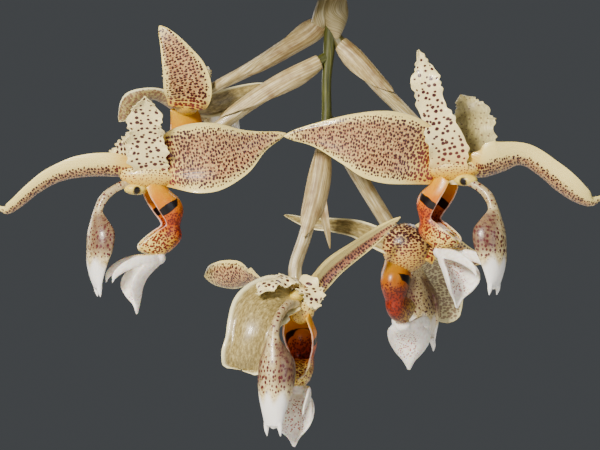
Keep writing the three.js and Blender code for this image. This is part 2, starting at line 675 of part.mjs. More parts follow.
// The plain hole in the filling that a pseudobulb stands in.
function bulbHole({ foot, size }) {
  const radius = BULB.radius * size;
  const low = MEDIUM.top - BULB.sunk - GAP;
  const high = MEDIUM.top + 2 * MEDIUM.mound;
  const hole = new THREE.CylinderGeometry(1.2 * radius, 1.06 * radius, high - low, 10);
  return solidOf(hole.rotateX(Math.PI / 2).translate(foot[0], foot[1], (low + high) / 2));
}

function growthSolid(growth) {
  const { foot, turn, size, reach, rise, length } = growth;
  const lean = THREE.MathUtils.degToRad(turn);
  const outward = new THREE.Vector3(Math.cos(lean), Math.sin(lean), 0);
  const up = WORLD[2];
  const neck = new THREE.Vector3(foot[0], foot[1], MEDIUM.top - BULB.sunk + BULB.height * size - 3);
  const spring = (out, high) => neck.clone().addScaledVector(outward, out).addScaledVector(up, high);
  const petiole = [spring(0, 0), spring(4, 22 * length), spring(12, 46 * length)];
  const mid = [
    spring(11, 42 * length), spring(0.2 * reach, 0.55 * rise), spring(0.42 * reach, 0.82 * rise),
    spring(0.68 * reach, rise), spring(0.92 * reach, 0.98 * rise), spring(1.12 * reach, 0.8 * rise),
  ];
  const inward = outward.clone().negate();
  const upright = inward.clone().addScaledVector(up, 0.3);
  const leaning = inward.clone().addScaledVector(up, 1.2);
  const leaf = blade({
    mid, face: [upright, leaning, up, outward],
    half: [5, 22 * length, 38 * length, 42 * length, 30 * length, 2], cup: [60, 30, 20, 15, 15, 10],
    thick: [2, 1.2, 1.2, 1.1, 1, 1], long: 7, wide: 6, pleat: 1.1,
  });
  const stalk = smoothTube(petiole, [4.2, 3.4, 3.2], 3, 6, outward);
  return bulbSolid(growth).add(stalk).add(leaf);
}

// The filling of bark and moss: a block with an uneven, mounded top.
function mediumSolid() {
  const cells = 6;
  const { half, top, mound } = MEDIUM;
  const bottom = BASKET_BOTTOM + ROD + SLAT.height + GAP;
  const points = [];
  const faces = [];
  for (let i = 0; i <= cells; i++)
    for (let j = 0; j <= cells; j++) {
      const x = -half + (2 * half * i) / cells;
      const y = -half + (2 * half * j) / cells;
      const dome = Math.cos((x / half) * 1.4) * Math.cos((y / half) * 1.4);
      const lump = 1.6 * Math.sin(i * 2.3 + j * 1.1) * Math.cos(j * 2.9 - i * 0.7);
      points.push(new THREE.Vector3(x, y, top + mound * dome + lump), new THREE.Vector3(x, y, bottom));
    }
  const high = (i, j) => 2 * (i * (cells + 1) + j);
  const low = (i, j) => high(i, j) + 1;
  const quad = (a, b, c, d) => faces.push([a, b, c], [a, c, d]);
  for (let i = 0; i < cells; i++) {
    for (let j = 0; j < cells; j++) {
      quad(high(i, j), high(i + 1, j), high(i + 1, j + 1), high(i, j + 1));
      quad(low(i, j), low(i, j + 1), low(i + 1, j + 1), low(i + 1, j));
    }
    quad(low(i, 0), low(i + 1, 0), high(i + 1, 0), high(i, 0));
    quad(high(i, cells), high(i + 1, cells), low(i + 1, cells), low(i, cells));
    quad(high(0, i), high(0, i + 1), low(0, i + 1), low(0, i));
    quad(low(cells, i), low(cells, i + 1), high(cells, i + 1), high(cells, i));
  }
  return solidFrom(points, faces);
}

function boxSolid(width, depth, height, centre) {
  return solidOf(new THREE.BoxGeometry(width, depth, height).translate(...centre));
}

function drill(x, y, low, high, radius) {
  const bit = new THREE.CylinderGeometry(radius, radius, high - low, 6);
  return solidOf(bit.rotateX(Math.PI / 2).translate(x, y, (low + high) / 2));
}

// One side rod, drilled at both crossings for the corner wires.
function rodSolid(course, hand) {
  const lengthwise = course % 2 === 0;
  const z = BASKET_BOTTOM + ROD * (course + 0.5);
  const size = ROD - GAP;
  const bar = lengthwise
    ? boxSolid(ROD_LENGTH, ROD, size, [0, hand * ROD_INSET, z])
    : boxSolid(ROD, ROD_LENGTH, size, [hand * ROD_INSET, 0, z]);
  return [-1, 1].reduce((rest, end) => {
    const [x, y] = lengthwise ? [end, hand] : [hand, end];
    return rest.subtract(drill(x * ROD_INSET, y * ROD_INSET, z - ROD, z + ROD, WIRE_HOLE));
  }, bar);
}

// A corner wire: bent under the lowest rod, straight up through the rods, then in to the collar.
function wireSolid(handX, handY) {
  const corner = ROD_INSET;
  const under = BASKET_BOTTOM - WIRE - GAP;
  const socket = COLLAR.socket;
  const places = [
    [corner - 12, under], [corner - 2, under], [corner, under + 2], [corner, BASKET_TOP + 3],
    [corner - 3, BASKET_TOP + 10], [socket + 3, COLLAR.bottom - 12], [socket, COLLAR.bottom - 5],
    [socket, COLLAR.bottom + COLLAR.depth - 1],
  ];
  const centres = places.map(([out, z], i) => {
    const y = i < 2 ? corner : out;
    return new THREE.Vector3(handX * out, handY * y, z);
  });
  return tube(centres, centres.map(() => WIRE), 5, new THREE.Vector3(handX, -handY, 0));
}

// The hook: a crook over the rail, a shank that swings back under it, and the collar that grips
// the wires.
function hookSolid() {
  const { wire, crook } = HOOK;
  const middle = wire - crook;
  const arc = Array.from({ length: 11 }, (_, i) => {
    const turn = THREE.MathUtils.degToRad(195 - i * 21);
    return new THREE.Vector3(crook * Math.cos(turn), 0, middle + crook * Math.sin(turn));
  });
  const swing = [[9, -23.5], [4, -27.5], [1, -31], [0, -36]];
  const shank = swing.map(([x, z]) => new THREE.Vector3(x, 0, z));
  const centres = [...arc, ...shank];
  const bent = tube(centres, centres.map(() => wire), 6, WORLD[1]);
  const { radius, top, bottom, socket, depth } = COLLAR;
  const body = solidOf(
    new THREE.CylinderGeometry(radius * 0.8, radius, top - bottom, 12)
      .rotateX(Math.PI / 2)
      .translate(0, 0, (top + bottom) / 2),
  );
  let collar = body.add(bent);
  for (const x of [-socket, socket])
    for (const y of [-socket, socket])
      collar = collar.subtract(drill(x, y, bottom - 2, bottom + depth, WIRE + GAP + 0.15));
  return collar;
}

// Finishes of living tissue, weathered wood and galvanised wire.
const finish = (color, roughness, metalness = 0) =>
  new THREE.MeshStandardMaterial({ color, roughness, metalness, side: THREE.DoubleSide });
const MATERIALS = {
  sepal: finish("#e6d9b4", 0.45),
  petal: finish("#efe6c4", 0.45),
  lip: finish("#e59a2c", 0.3),
  column: finish("#d9cfb4", 0.4),
  stem: finish("#a9a878", 0.55),
  bract: finish("#bfa983", 0.7),
  leaf: finish("#3f6a2c", 0.5),
  wood: finish("#8a5c3a", 0.75),
  medium: finish("#7a5f3e", 0.95),
  wire: finish("#9a9c9e", 0.35, 1),
};

const part = new THREE.Group();
function add(name, solid, material) {
  const mesh = new THREE.Mesh(geometryOf(largest(solid.simplify(FINEST))), MATERIALS[material]);
  mesh.name = name;
  part.add(mesh);
}

// The spray: the stem first, and each organ trimmed back a little from those before it.
let stem = stalkSolid("main");
for (const sheath of sheathSolids()) stem = stem.add(sheath);
for (const name of Object.keys(FLOWERS)) stem = stem.add(stalkSolid(name));
for (const flower of Object.values(FLOWERS)) stem = stem.subtract(lateralSolid(flower, GAP));
add("flower_stem", largest(stem), "stem");

for (const [name, flower] of Object.entries(FLOWERS)) {
  add(`${name}_flower_lateral_sepals`, lateralSolid(flower), "sepal");
  const organs = [
    ["column", "column", (grow) => columnSolid(flower, grow)],
    ["lip", "lip", (grow) => lipSolid(flower, grow)],
    ["dorsal_sepal", "sepal", (grow) => blade(tepal(flower.dorsal, SEPAL_MESH), grow)],
    ["petal_near", "petal", (grow) => blade(tepal(flower.petal, PETAL_MESH), grow)],
    ["petal_far", "petal", (grow) => blade(tepal(flower.petalFar, PETAL_MESH), grow)],
  ];
  let taken = stalkSolid(name, GAP).add(lateralSolid(flower, GAP));
  for (const [organ, material, make] of organs) {
    add(`${name}_flower_${organ}`, largest(make(0).subtract(taken)), material);
    taken = taken.add(make(GAP));
  }
}
for (const name of Object.keys(BRACTS)) {
  const others = Object.keys(STALKS).map((other) => stalkSolid(other, GAP));
  const clear = others.reduce((rest, other) => rest.subtract(other), bractSolid(name));
  const sheaths = sheathSolids().reduce((rest, sheath) => rest.subtract(sheath), clear);
  add(`bract_${name}`, largest(sheaths), "bract");
}

// The plant and its filling.
let medium = mediumSolid().subtract(stalkSolid("main", GAP));
for (const [name, growth] of Object.entries(GROWTHS)) {
  add(`growth_${name}`, growthSolid(growth), "leaf");
  medium = medium.subtract(bulbHole(growth));
}
add("bark_and_moss", largest(medium), "medium");

// The basket and its hanger.
for (let course = 0; course < COURSES; course++)
  for (const [side, hand] of [["low", -1], ["high", 1]])
    add(`rod_course_${course + 1}_${side}`, rodSolid(course, hand), "wood");
SLAT.places.forEach((x, i) => {
  const z = BASKET_BOTTOM + ROD + SLAT.height / 2;
  const length = 2 * (ROD_INSET + ROD / 2);
  add(`floor_slat_${i + 1}`, boxSolid(SLAT.width, length, SLAT.height - GAP, [x, 0, z]), "wood");
});
for (const [side, x] of [["left", -1], ["right", 1]])
  for (const [end, y] of [["front", -1], ["back", 1]])
    add(`wire_${side}_${end}`, wireSolid(x, y), "wire");
add("hanger_hook", hookSolid(), "wire");

export default part;
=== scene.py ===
"""A Stanhopea orchid in its hanging slat basket, with one pendent spray of five flowers."""
import math
import random

import bmesh
import bpy
import numpy as np
from mathutils import Matrix, Vector, noise


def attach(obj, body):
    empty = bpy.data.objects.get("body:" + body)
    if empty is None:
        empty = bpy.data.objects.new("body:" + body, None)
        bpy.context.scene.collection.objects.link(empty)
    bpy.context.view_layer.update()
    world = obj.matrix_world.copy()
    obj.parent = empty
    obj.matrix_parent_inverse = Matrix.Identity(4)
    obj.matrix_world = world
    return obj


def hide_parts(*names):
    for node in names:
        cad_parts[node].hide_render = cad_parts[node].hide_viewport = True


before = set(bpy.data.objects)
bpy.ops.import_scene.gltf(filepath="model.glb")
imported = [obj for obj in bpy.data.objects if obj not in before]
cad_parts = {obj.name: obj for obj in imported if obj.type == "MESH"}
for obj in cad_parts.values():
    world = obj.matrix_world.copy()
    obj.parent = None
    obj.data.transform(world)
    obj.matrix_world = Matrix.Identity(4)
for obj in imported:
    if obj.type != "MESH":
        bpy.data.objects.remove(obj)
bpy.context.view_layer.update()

# The spray hangs in front of a level camera with a long lens, as a botanical portrait is taken.
# The picture takes in 300 by 225 mm at the stem, below the basket. Soft boxes light it from the
# front, with one behind to edge the petals. The floor is a pale, matt studio floor.
MM = 0.001
STEM_X, SPRAY_TOP = 166.5, -386.0
PICTURE = (300, 225)
DISTANCE = 1600
lens = bpy.data.cameras.new("portrait_lens")
lens.sensor_width = 36
lens.lens = lens.sensor_width * DISTANCE / PICTURE[0]
lens.clip_start, lens.clip_end = 0.05, 60
camera = bpy.data.objects.new("portrait_camera", lens)
camera.location = (
    (PICTURE[0] / 2 - STEM_X) * MM, -DISTANCE * MM, (SPRAY_TOP - PICTURE[1] / 2) * MM,
)
camera.rotation_euler = (math.radians(90), 0, 0)
bpy.context.scene.collection.objects.link(camera)
bpy.context.scene.camera = camera


def srgb(code):
    """A colour written #rrggbb, as the linear colour that the shaders take."""
    parts = [int(code[i : i + 2], 16) / 255 for i in (1, 3, 5)]
    return (*[p / 12.92 if p <= 0.04045 else ((p + 0.055) / 1.055) ** 2.4 for p in parts], 1)


def add(tree, kind, inputs=None, out=0, stops=(), **settings):
    """Adds one node with its settings and links, and gives the socket that is used from it."""
    made = tree.nodes.new("ShaderNode" + kind)
    for name, value in settings.items():
        setattr(made, name, value)
    for name, value in (inputs or {}).items():
        if isinstance(value, bpy.types.NodeSocket):
            tree.links.new(value, made.inputs[name])
        else:
            made.inputs[name].default_value = value
    for i, (place, colour) in enumerate(stops):
        ramp = made.color_ramp.elements
        stop = ramp[i] if i < len(ramp) else ramp.new(place)
        stop.position, stop.color = place, srgb(colour)
    return made.outputs[out] if made.outputs else made


def material(name):
    made = bpy.data.materials.new(name)
    made.use_nodes = True
    made.node_tree.nodes.clear()
    return made, made.node_tree


def surface(tree, relief=0.0, height=None, **sockets):
    """Ends a material in its Principled surface; relief is the bump's depth in millimetres."""
    inputs = {name.replace("_", " "): value for name, value in sockets.items()}
    if height is not None:
        inputs["Normal"] = add(tree, "Bump", {"Height": height, "Distance": relief * MM})
    add(tree, "OutputMaterial", {"Surface": add(tree, "BsdfPrincipled", inputs)})


LIGHT_AIM = Vector((0, 0, -0.42))
for name, place, size, watts, colour in (
    ("key_softbox", (-1.1, -1.9, 0.5), 0.5, 122, "#fff6ea"),
    ("fill_softbox", (1.5, -1.5, -0.2), 1.2, 10, "#f2f5ff"),
    ("edge_softbox", (0.7, 1.5, 0.9), 1.0, 14, "#ffffff"),
    ("back_softbox", (-1.2, 1.4, 0.1), 1.0, 12, "#ffffff"),
):
    light = bpy.data.lights.new(name, "AREA")
    light.size, light.energy, light.color = size, watts, srgb(colour)[:3]
    box = bpy.data.objects.new(name, light)
    box.location = place
    box.rotation_euler = (LIGHT_AIM - box.location).to_track_quat("-Z", "Y").to_euler()
    bpy.context.scene.collection.objects.link(box)
world = bpy.data.worlds.new("studio_air")
world.use_nodes = True
world.node_tree.nodes["Background"].inputs["Color"].default_value = srgb("#7c8084")
world.node_tree.nodes["Background"].inputs["Strength"].default_value = 0.3
bpy.context.scene.world = world

FLOOR_DROP, FLOOR_RADIUS = 0.86, 2.4
floor_mesh = bpy.data.meshes.new("studio_floor")
shape = bmesh.new()
bmesh.ops.create_circle(shape, cap_ends=True, segments=96, radius=FLOOR_RADIUS)
shape.to_mesh(floor_mesh)
shape.free()
floor = bpy.data.objects.new("studio_floor", floor_mesh)
floor.location.z = -FLOOR_DROP
bpy.context.scene.collection.objects.link(floor)
made, tree = material("matt_painted_studio_floor")
surface(tree, Base_Color=srgb("#d9d7d2"), Roughness=0.85)
floor_mesh.materials.append(made)

# The stem of the spray: one fleshy axis that hangs from the foot of a bulb, with five stalks, each
# swelling to the ovary of its flower, and two sheaths at the top. It grew as one piece. It is
# satin-skinned, green on the axis and tan on the stalks, with fine darker streaks.


def along(values, t):
    """The smooth curve through evenly spaced values, at places t from 0 to 1."""
    values, t = np.asarray(values, float), np.asarray(t, float)
    last = len(values) - 1
    i = np.minimum((t * last).astype(int), last - 1)
    f = t * last - i
    if values.ndim > 1:
        f = f[..., None]
    b, c = values[i], values[i + 1]
    first, final = i == 0, i + 1 >= last
    if values.ndim > 1:
        first, final = first[..., None], final[..., None]
    a = np.where(first, 2 * b - c, values[np.maximum(i - 1, 0)])
    d = np.where(final, 2 * c - b, values[np.minimum(i + 2, last)])
    return b + 0.5 * f * (c - a + f * (2 * a - 5 * b + 4 * c - d + f * (3 * (b - c) + d - a)))


def unit(v):
    return v / np.maximum(np.linalg.norm(v, axis=-1, keepdims=True), 1e-12)


def spot(points):
    """Points of the spray, as [from its left tip, behind the stem, drop], in the part's frame."""
    x, behind, drop = np.asarray(points, float).T
    return np.stack([x - STEM_X, behind, SPRAY_TOP - drop], 1)


def directions(t, mid, face):
    """The run of a midrib, the way across it and the way that its inner side looks."""
    step = 0.01
    run = unit(along(mid, np.minimum(1, t + step)) - along(mid, np.maximum(0, t - step)))
    side = unit(np.cross(run, face))
    return run, side, np.cross(side, run)


def grid_faces(rows, columns, start=0, closed=False, turned=False):
    """Quads over a grid of points; closed joins its last column to its first."""
    i, j = np.meshgrid(np.arange(rows), np.arange(columns), indexing="ij")
    wide = columns if closed else columns + 1
    k = (j + 1) % wide
    corners = [i * wide + j, i * wide + k, (i + 1) * wide + k, (i + 1) * wide + j]
    if turned:
        corners.reverse()
    return (np.stack([c.ravel() for c in corners], 1) + start).tolist()


def closed_faces(rings, sides):
    """Quads round a tube of closed rings, and its two ends."""
    ends = [list(range(sides)), [rings * sides + k for k in reversed(range(sides))]]
    return grid_faces(rings, sides, closed=True, turned=True) + ends


def tube(mid, radii, rings, sides, hint=(0, 1, 0), flat=1.0, lobes=0, lobe=0.0, twist=0.0,
         tint=None):
    """A round, closed stem or wire along the smooth curve through mid, in millimetres."""
    t = np.linspace(0, 1, rings + 1)
    centres, radius = along(mid, t), along(radii, t)
    run, side, up = directions(t, mid, np.broadcast_to(np.asarray(hint, float), (rings + 1, 3)))
    turn = 2 * np.pi * np.arange(sides) / sides
    ridge = 1 + lobe * np.cos(lobes * turn[None] + twist * t[:, None])
    reach = radius[:, None] * ridge
    points = (
        centres[:, None]
        + (reach * np.cos(turn))[..., None] * side[:, None]
        + (reach * flat * np.sin(turn))[..., None] * up[:, None]
    )
    length = np.concatenate([[0], np.cumsum(np.linalg.norm(np.diff(centres, axis=0), axis=1))])
    skin = np.stack(np.broadcast_arrays(length[:, None], radius[:, None] * turn[None], 1.0), -1)
    shade = np.broadcast_to(np.zeros(3) if tint is None else tint(t)[:, None], points.shape)
    faces = closed_faces(rings, sides)
    return points.reshape(-1, 3), faces, skin.reshape(-1, 3), shade.reshape(-1, 3)


def joined(name, parts):
    """One mesh, in metres, of parts that begin with their points in millimetres and their faces."""
    faces, start = [], 0
    for part in parts:
        faces += [[corner + start for corner in face] for face in part[1]]
        start += len(part[0])
    mesh = bpy.data.meshes.new(name)
    mesh.from_pydata((np.concatenate([part[0] for part in parts]) * MM).tolist(), [], faces)
    return mesh


def piece(name, parts, made, slot, *nodes):
    """One object of a node's parts, each with points, faces, and its skin and tint at each point."""
    mesh = joined(name, parts)
    for title, column in (("skin", 2), ("tint", 3)):
        layer = mesh.attributes.new(title, "FLOAT_VECTOR", "POINT")
        values = np.concatenate([part[column] for part in parts]).astype(np.float32)
        layer.data.foreach_set("vector", values.ravel())
    mesh.polygons.foreach_set("use_smooth", [True] * len(mesh.polygons))
    mesh.materials.append(made)
    thing = bpy.data.objects.new(name, mesh)
    bpy.context.scene.collection.objects.link(thing)
    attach(thing, "root")
    if nodes:
        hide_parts(*nodes)
    return thing


def attribute(tree, name):
    """The three numbers of a mesh attribute, one socket each, and the vector."""
    vector = add(tree, "Attribute", out="Vector", attribute_name=name)
    split = add(tree, "SeparateXYZ", {0: vector}).node
    return (*split.outputs, vector)


def mix(tree, share, first, second):
    """Blends two colours, each a socket or written #rrggbb."""
    first, second = [srgb(c) if isinstance(c, str) else c for c in (first, second)]
    return add(tree, "Mix", {0: share, 6: first, 7: second}, 2, data_type="RGBA")


def calc(tree, operation, *values):
    return add(tree, "Math", dict(enumerate(values)), operation=operation)


def span(tree, value, low, high, first=0, last=1, smooth=False):
    """Takes a value's stretch from low to high to the one from first to last, held at its ends."""
    kind = "SMOOTHSTEP" if smooth else "LINEAR"
    inputs = {0: value, 1: low, 2: high, 3: first, 4: last}
    return add(tree, "MapRange", inputs, interpolation_type=kind)


def fractal(tree, place, scale, detail=2.0, roughness=0.5):
    """Cloudy noise; one cloud is about 1 / scale millimetres wide."""
    return add(tree, "TexNoise", {0: place, "Scale": scale, "Detail": detail, "Roughness": roughness})


def scaled(tree, place, *scales):
    return add(tree, "Mapping", {0: place, "Scale": scales})


def ramp(tree, value, *stops):
    """Colours along a value, each stop as (value, #rrggbb)."""
    return add(tree, "ValToRGB", {0: value}, stops=stops)


def stem_skin():
    """Satin plant skin: a thin waxy cuticle gives a soft sheen over long, faint streaks."""
    made, tree = material("satin_flower_stem")
    tan, streak, _, _ = attribute(tree, "tint")
    _, _, _, skin = attribute(tree, "skin")
    lines = scaled(tree, skin, 0.05, 0.9, 1)
    streaks = fractal(tree, lines, 1.6, 4, 0.65)
    blotch = fractal(tree, skin, 0.09, 3)
    green = ramp(tree, streaks, (0.3, "#262c08"), (0.6, "#484c14"), (0.8, "#7c7c3e"))
    cream = ramp(tree, streaks, (0.25, "#64542e"), (0.48, "#a69666"), (0.72, "#e0d8b6"))
    base = mix(tree, tan, green, cream)
    brown = span(tree, blotch, 0.5, 0.72)
    brown = calc(tree, "MULTIPLY", brown, streak)
    base = mix(tree, brown, base, "#74502c")
    surface(
        tree, 0.12, streaks, Base_Color=base, Roughness=0.42, Subsurface_Weight=0.08,
        Subsurface_Radius=(1, 0.85, 0.5), Subsurface_Scale=0.002, Coat_Weight=0.08,
    )
    return made


STALKS = {
    "main": (
        [[166.5, 0, -52], [166.5, 0, -22], [166.5, 0, 2], [165, 0, 20], [163.3, 0, 40],
         [163.3, 0, 58], [162, 0, 74]],
        [4.4, 4.4, 4.2, 3.2, 2.4, 2.5, 2.8],
    ),
    "upper": (
        [[165, 1, 6], [158, 3, 13.5], [144, 10, 22], [125.5, 20, 33], [106, 31, 42.5], [93, 37, 50]],
        [3, 3.8, 3.8, 3.4, 2.8, 3.4],
    ),
    "left": (
        [[164, 0, 28], [152, -2, 36], [137.5, -2, 44], [122, -1, 54], [106, 0, 66], [92, -2, 76],
         [80, -6, 83]],
        [2.5, 3.2, 3.5, 3.4, 3.2, 3.3, 4],
    ),
    "right": (
        [[166, 0, 16], [172, -1, 24], [181, -3, 34], [191, -4, 45], [201, -4, 55], [212, -4, 67],
         [221, -6, 79]],
        [2.5, 3.2, 3.5, 3.4, 3.2, 3.3, 4],
    ),
    "back": (
        [[163, 0, 56], [167, 6, 68], [176, 12, 82], [186, 16, 98], [196, 19, 114], [203, 19, 123]],
        [2.3, 3, 3.6, 3.7, 3.7, 4.2],
    ),
    "front": (
        [[162.2, 0, 68], [160.5, -1, 84], [157.5, -4, 100], [152.5, -8, 118], [147.5, -12, 135],
         [151, -16, 147]],
        [2.7, 2.9, 3.1, 3.2, 3.3, 3.7],
    ),
}


def stalk_tint(t):
    tan = np.clip((t - 0.05) / 0.3, 0, 1)
    return np.stack([tan, 0.75 * tan, 0 * t], 1)


parts = []
for name, (mid, radii) in STALKS.items():
    if name == "main":
        parts.append(tube(spot(mid), radii, 70, 28))
    else:
        ribs = {"lobes": 6, "lobe": 0.045, "twist": 2.4, "tint": stalk_tint}
        parts.append(tube(spot(mid), radii, 60, 30, **ribs))
pale = lambda t: np.stack([0.35 + 0.5 * t, 0.4 * t, 0 * t], 1)
outer = [[166, 0, -20], [166.5, -0.5, -6], [167.5, -1, 8], [168.5, -2, 20]]
inner = [[163.5, 0, 2], [161, -1, 8], [158.5, -1.5, 13]]
parts.append(tube(spot(outer), [5, 5.6, 6.6, 1.2], 40, 28, tint=pale))
parts.append(tube(spot(inner), [5, 4.6, 3.4], 24, 28, tint=pale))
piece("flower_stem_skin", parts, stem_skin(), "stem", "flower_stem")

# The floral bracts: one at the foot of each stalk, dry and papery once the flowers are open, with
# parallel veins. Each clasps its stalk from one side and ends in a soft point.


def fade(x, low, high):
    """0 below low, 1 above high, smooth between."""
    f = np.clip((x - low) / (high - low), 0, 1)
    return f * f * (3 - 2 * f)


def skins(at, body, flat, seed, tint):
    """Gives a sheet of points its thickness: an inner skin, an outer skin and the rim between."""
    long, wide = at.shape[0] - 1, at.shape[1] - 1
    out = unit(np.cross(np.gradient(at, axis=1), np.gradient(at, axis=0)))
    body = np.broadcast_to(body, at.shape[:2])[..., None]
    points = np.concatenate([(at + body * out).reshape(-1, 3), (at - body * out).reshape(-1, 3)])
    place = flat.reshape(-1, 3) + [seed * 37, seed * 11, 0]
    skin = np.concatenate([place + [0, 0, 1], place - [0, 0, 1]])
    shade = np.zeros((2, long + 1, wide + 1, 3))
    if tint:
        t, u = np.meshgrid(np.linspace(0, 1, long + 1), np.linspace(-1, 1, wide + 1), indexing="ij")
        u = np.sin(u * np.pi / 2)
        shade[0], shade[1] = tint(t, u, True), tint(t, u, False)
    n = (long + 1) * (wide + 1)
    faces = grid_faces(long, wide) + grid_faces(long, wide, n, turned=True)
    row = wide + 1
    for i in range(long):
        a, b = i * row, (i + 1) * row
        faces += [[a, b, b + n, a + n], [b + wide, a + wide, a + wide + n, b + wide + n]]
    last = long * row
    for j in range(wide):
        k = last + j
        faces += [[j + 1, j, j + n, j + 1 + n], [k, k + 1, k + 1 + n, k + n]]
    return points, faces, skin, shade.reshape(-1, 3)


def blade(mid, face, half, cup, thick=(0.9, 0.9), rim=0.45, long=56, wide=26, deep=1.0, wave=0.0,
          waves=5.0, tooth=0.0, fringe=0.0, flare=0.0, pleats=0, pleat=0.0, blunt=0.08, tint=None,
          seed=0.0):
    """A thin organ: the form that the solid has, with a finer skin, a rolled rim and a tip."""
    t = np.linspace(0, 1, long + 1)
    u = np.sin(np.linspace(-1, 1, wide + 1) * np.pi / 2)
    run, side, up = directions(t, mid, along(face, t))
    centre = along(mid, t)
    end = np.clip((t - 1 + blunt) / blunt, 0, 1)
    reach = np.maximum(along(half, t), 0.2) * np.sqrt(np.maximum(1 - end**2, 0.004))
    bend = np.radians(along(cup, t))
    bend = np.where(np.abs(bend) < 0.02, 0.02, bend)
    tt, uu = np.meshgrid(t, u, indexing="ij")
    swing = 2 * np.pi * waves * tt + np.where(uu < 0, 1.3, 0)
    rough = np.sin(swing * 4.3 + 2 * np.sin(swing * 1.3 + seed)) * np.abs(uu) ** 6
    width = reach[:, None] * (1 + tooth * np.sin(swing * 1.7) * np.abs(uu) ** 2) + fringe * rough
    turn = uu * bend[:, None]
    curl = width / bend[:, None]
    lift = curl * (1 - np.cos(turn)) * deep + wave * np.abs(uu) ** 1.5 * np.sin(swing)
    lift = lift + fringe * np.roll(rough, 1, 0) - pleat * np.cos(pleats * np.pi * (uu + 1))
    rolled = (bend > 0)[:, None] * flare * np.minimum(1, reach / 8)[:, None]
    lift = lift - rolled * fade(np.abs(uu), 0.55, 1.05)
    across = (curl * np.sin(turn))[..., None] * side[:, None]
    at = centre[:, None] + across + lift[..., None] * up[:, None]
    body = (along(thick, t) / 2)[:, None] * (rim + (1 - rim) * (1 - uu**2))
    length = np.concatenate([[0], np.cumsum(np.linalg.norm(np.diff(centre, axis=0), axis=1))])
    flat = np.stack(np.broadcast_arrays(length[:, None], uu * reach[:, None], 0 * uu), -1)
    return skins(at, body, flat, seed, tint)


def papery_bract():
    """Dried plant tissue: matt, straw to tan, with close parallel veins and a darker margin."""
    made, tree = material("papery_bract")
    _, _, _, skin = attribute(tree, "skin")
    lines = scaled(tree, skin, 0.03, 1.1, 1)
    veins = fractal(tree, lines, 1.5, 5, 0.7)
    straws = (0.28, "#5f4c26"), (0.44, "#9c8854"), (0.58, "#c8b88a"), (0.76, "#f2ecd4")
    colour = ramp(tree, veins, *straws)
    blotch = fractal(tree, skin, 0.16, 3)
    brown = span(tree, blotch, 0.46, 0.72, 0, 0.65)
    colour = mix(tree, brown, colour, "#6a4822")
    surface(tree, 0.25, veins, Base_Color=colour, Roughness=0.5)
    return made


# Where it starts and ends along its stalk, the way it looks, how far it wraps in degrees, and how
# far it stands off the stalk.
BRACTS = {
    "upper": (0.1, 0.62, [-0.3, -0.5, 0.8], [150, 120, 80, 40, 10], [0, 1.1, 1, 0.7, 0.5]),
    "left": (0.06, 0.6, [-0.2, -0.7, -0.8], [150, 140, 110, 70, 10], [0, 1.0, 0.9, 0.6, 0.4]),
    "right": (0.12, 0.56, [0.4, -0.7, -0.6], [150, 140, 110, 70, 10], [0, 1.0, 0.9, 0.6, 0.4]),
    "back": (0.12, 0.5, [0.4, -0.6, -0.7], [150, 120, 80, 40, 10], [0, 1.2, 1.1, 0.8, 0.5]),
    "front": (0.08, 0.62, [-0.1, -1, 0], [150, 150, 120, 70, 8], [0, 1.7, 1.9, 1.3, 0.8]),
}
CLASP, PAPER = 0.35, 0.7
paper = papery_bract()
for name, (start, end, way, spread, room) in BRACTS.items():
    mid, radii = spot(STALKS[name][0]), STALKS[name][1]
    s = np.linspace(0, 1, 9)
    t = start + (end - start) * s
    wall = along(radii, t) + CLASP + PAPER / 2 + along(room, s)
    look = np.array([way[0], way[1], -way[2]])
    run, _, _ = directions(t, mid, np.broadcast_to(look, (9, 3)))
    outward = unit(look - (run @ look)[:, None] * run)
    opened = np.maximum(6, along(spread, s))
    ribs = along(mid, t) + wall[:, None] * outward
    shell = blade(
        ribs, [-look, -look], wall * np.radians(opened), opened, (PAPER, 0.5), rim=0.8, wide=30,
        blunt=0.12, seed=len(name),
    )
    sheets = [shell]
    if name == "front":
        tip = spot([[160.5, -5, 98], [162, -6.5, 108], [163.8, -7, 117], [165, -7, 124.5]])
        half, cup = [2.6, 2.3, 1.4, 0.2], [60, 40, 20, 8]
        sheets.append(blade(tip, [[0.3, -1, 0]] * 2, half, cup, (PAPER, 0.4)))
    piece(f"bract_{name}_paper", sheets, paper, "bract", f"bract_{name}")

# The five flowers. The sepals and petals are waxy and a little translucent, cream with rows of
# dark red spots inside, tan and faintly mottled outside, and yellow where they join. The two
# lateral sepals are joined at their base, and the petals are narrower, with waved, toothed edges.


def scatter(tree, place, loose):
    """The distance to the nearest of many dots, and a number from 0 to 1 that is the dot's own."""
    inputs = {0: place, "Scale": 1.0, "Randomness": loose}
    near = add(tree, "TexVoronoi", inputs, voronoi_dimensions="2D")
    return near, add(tree, "SeparateColor", {0: near.node.outputs["Color"]})


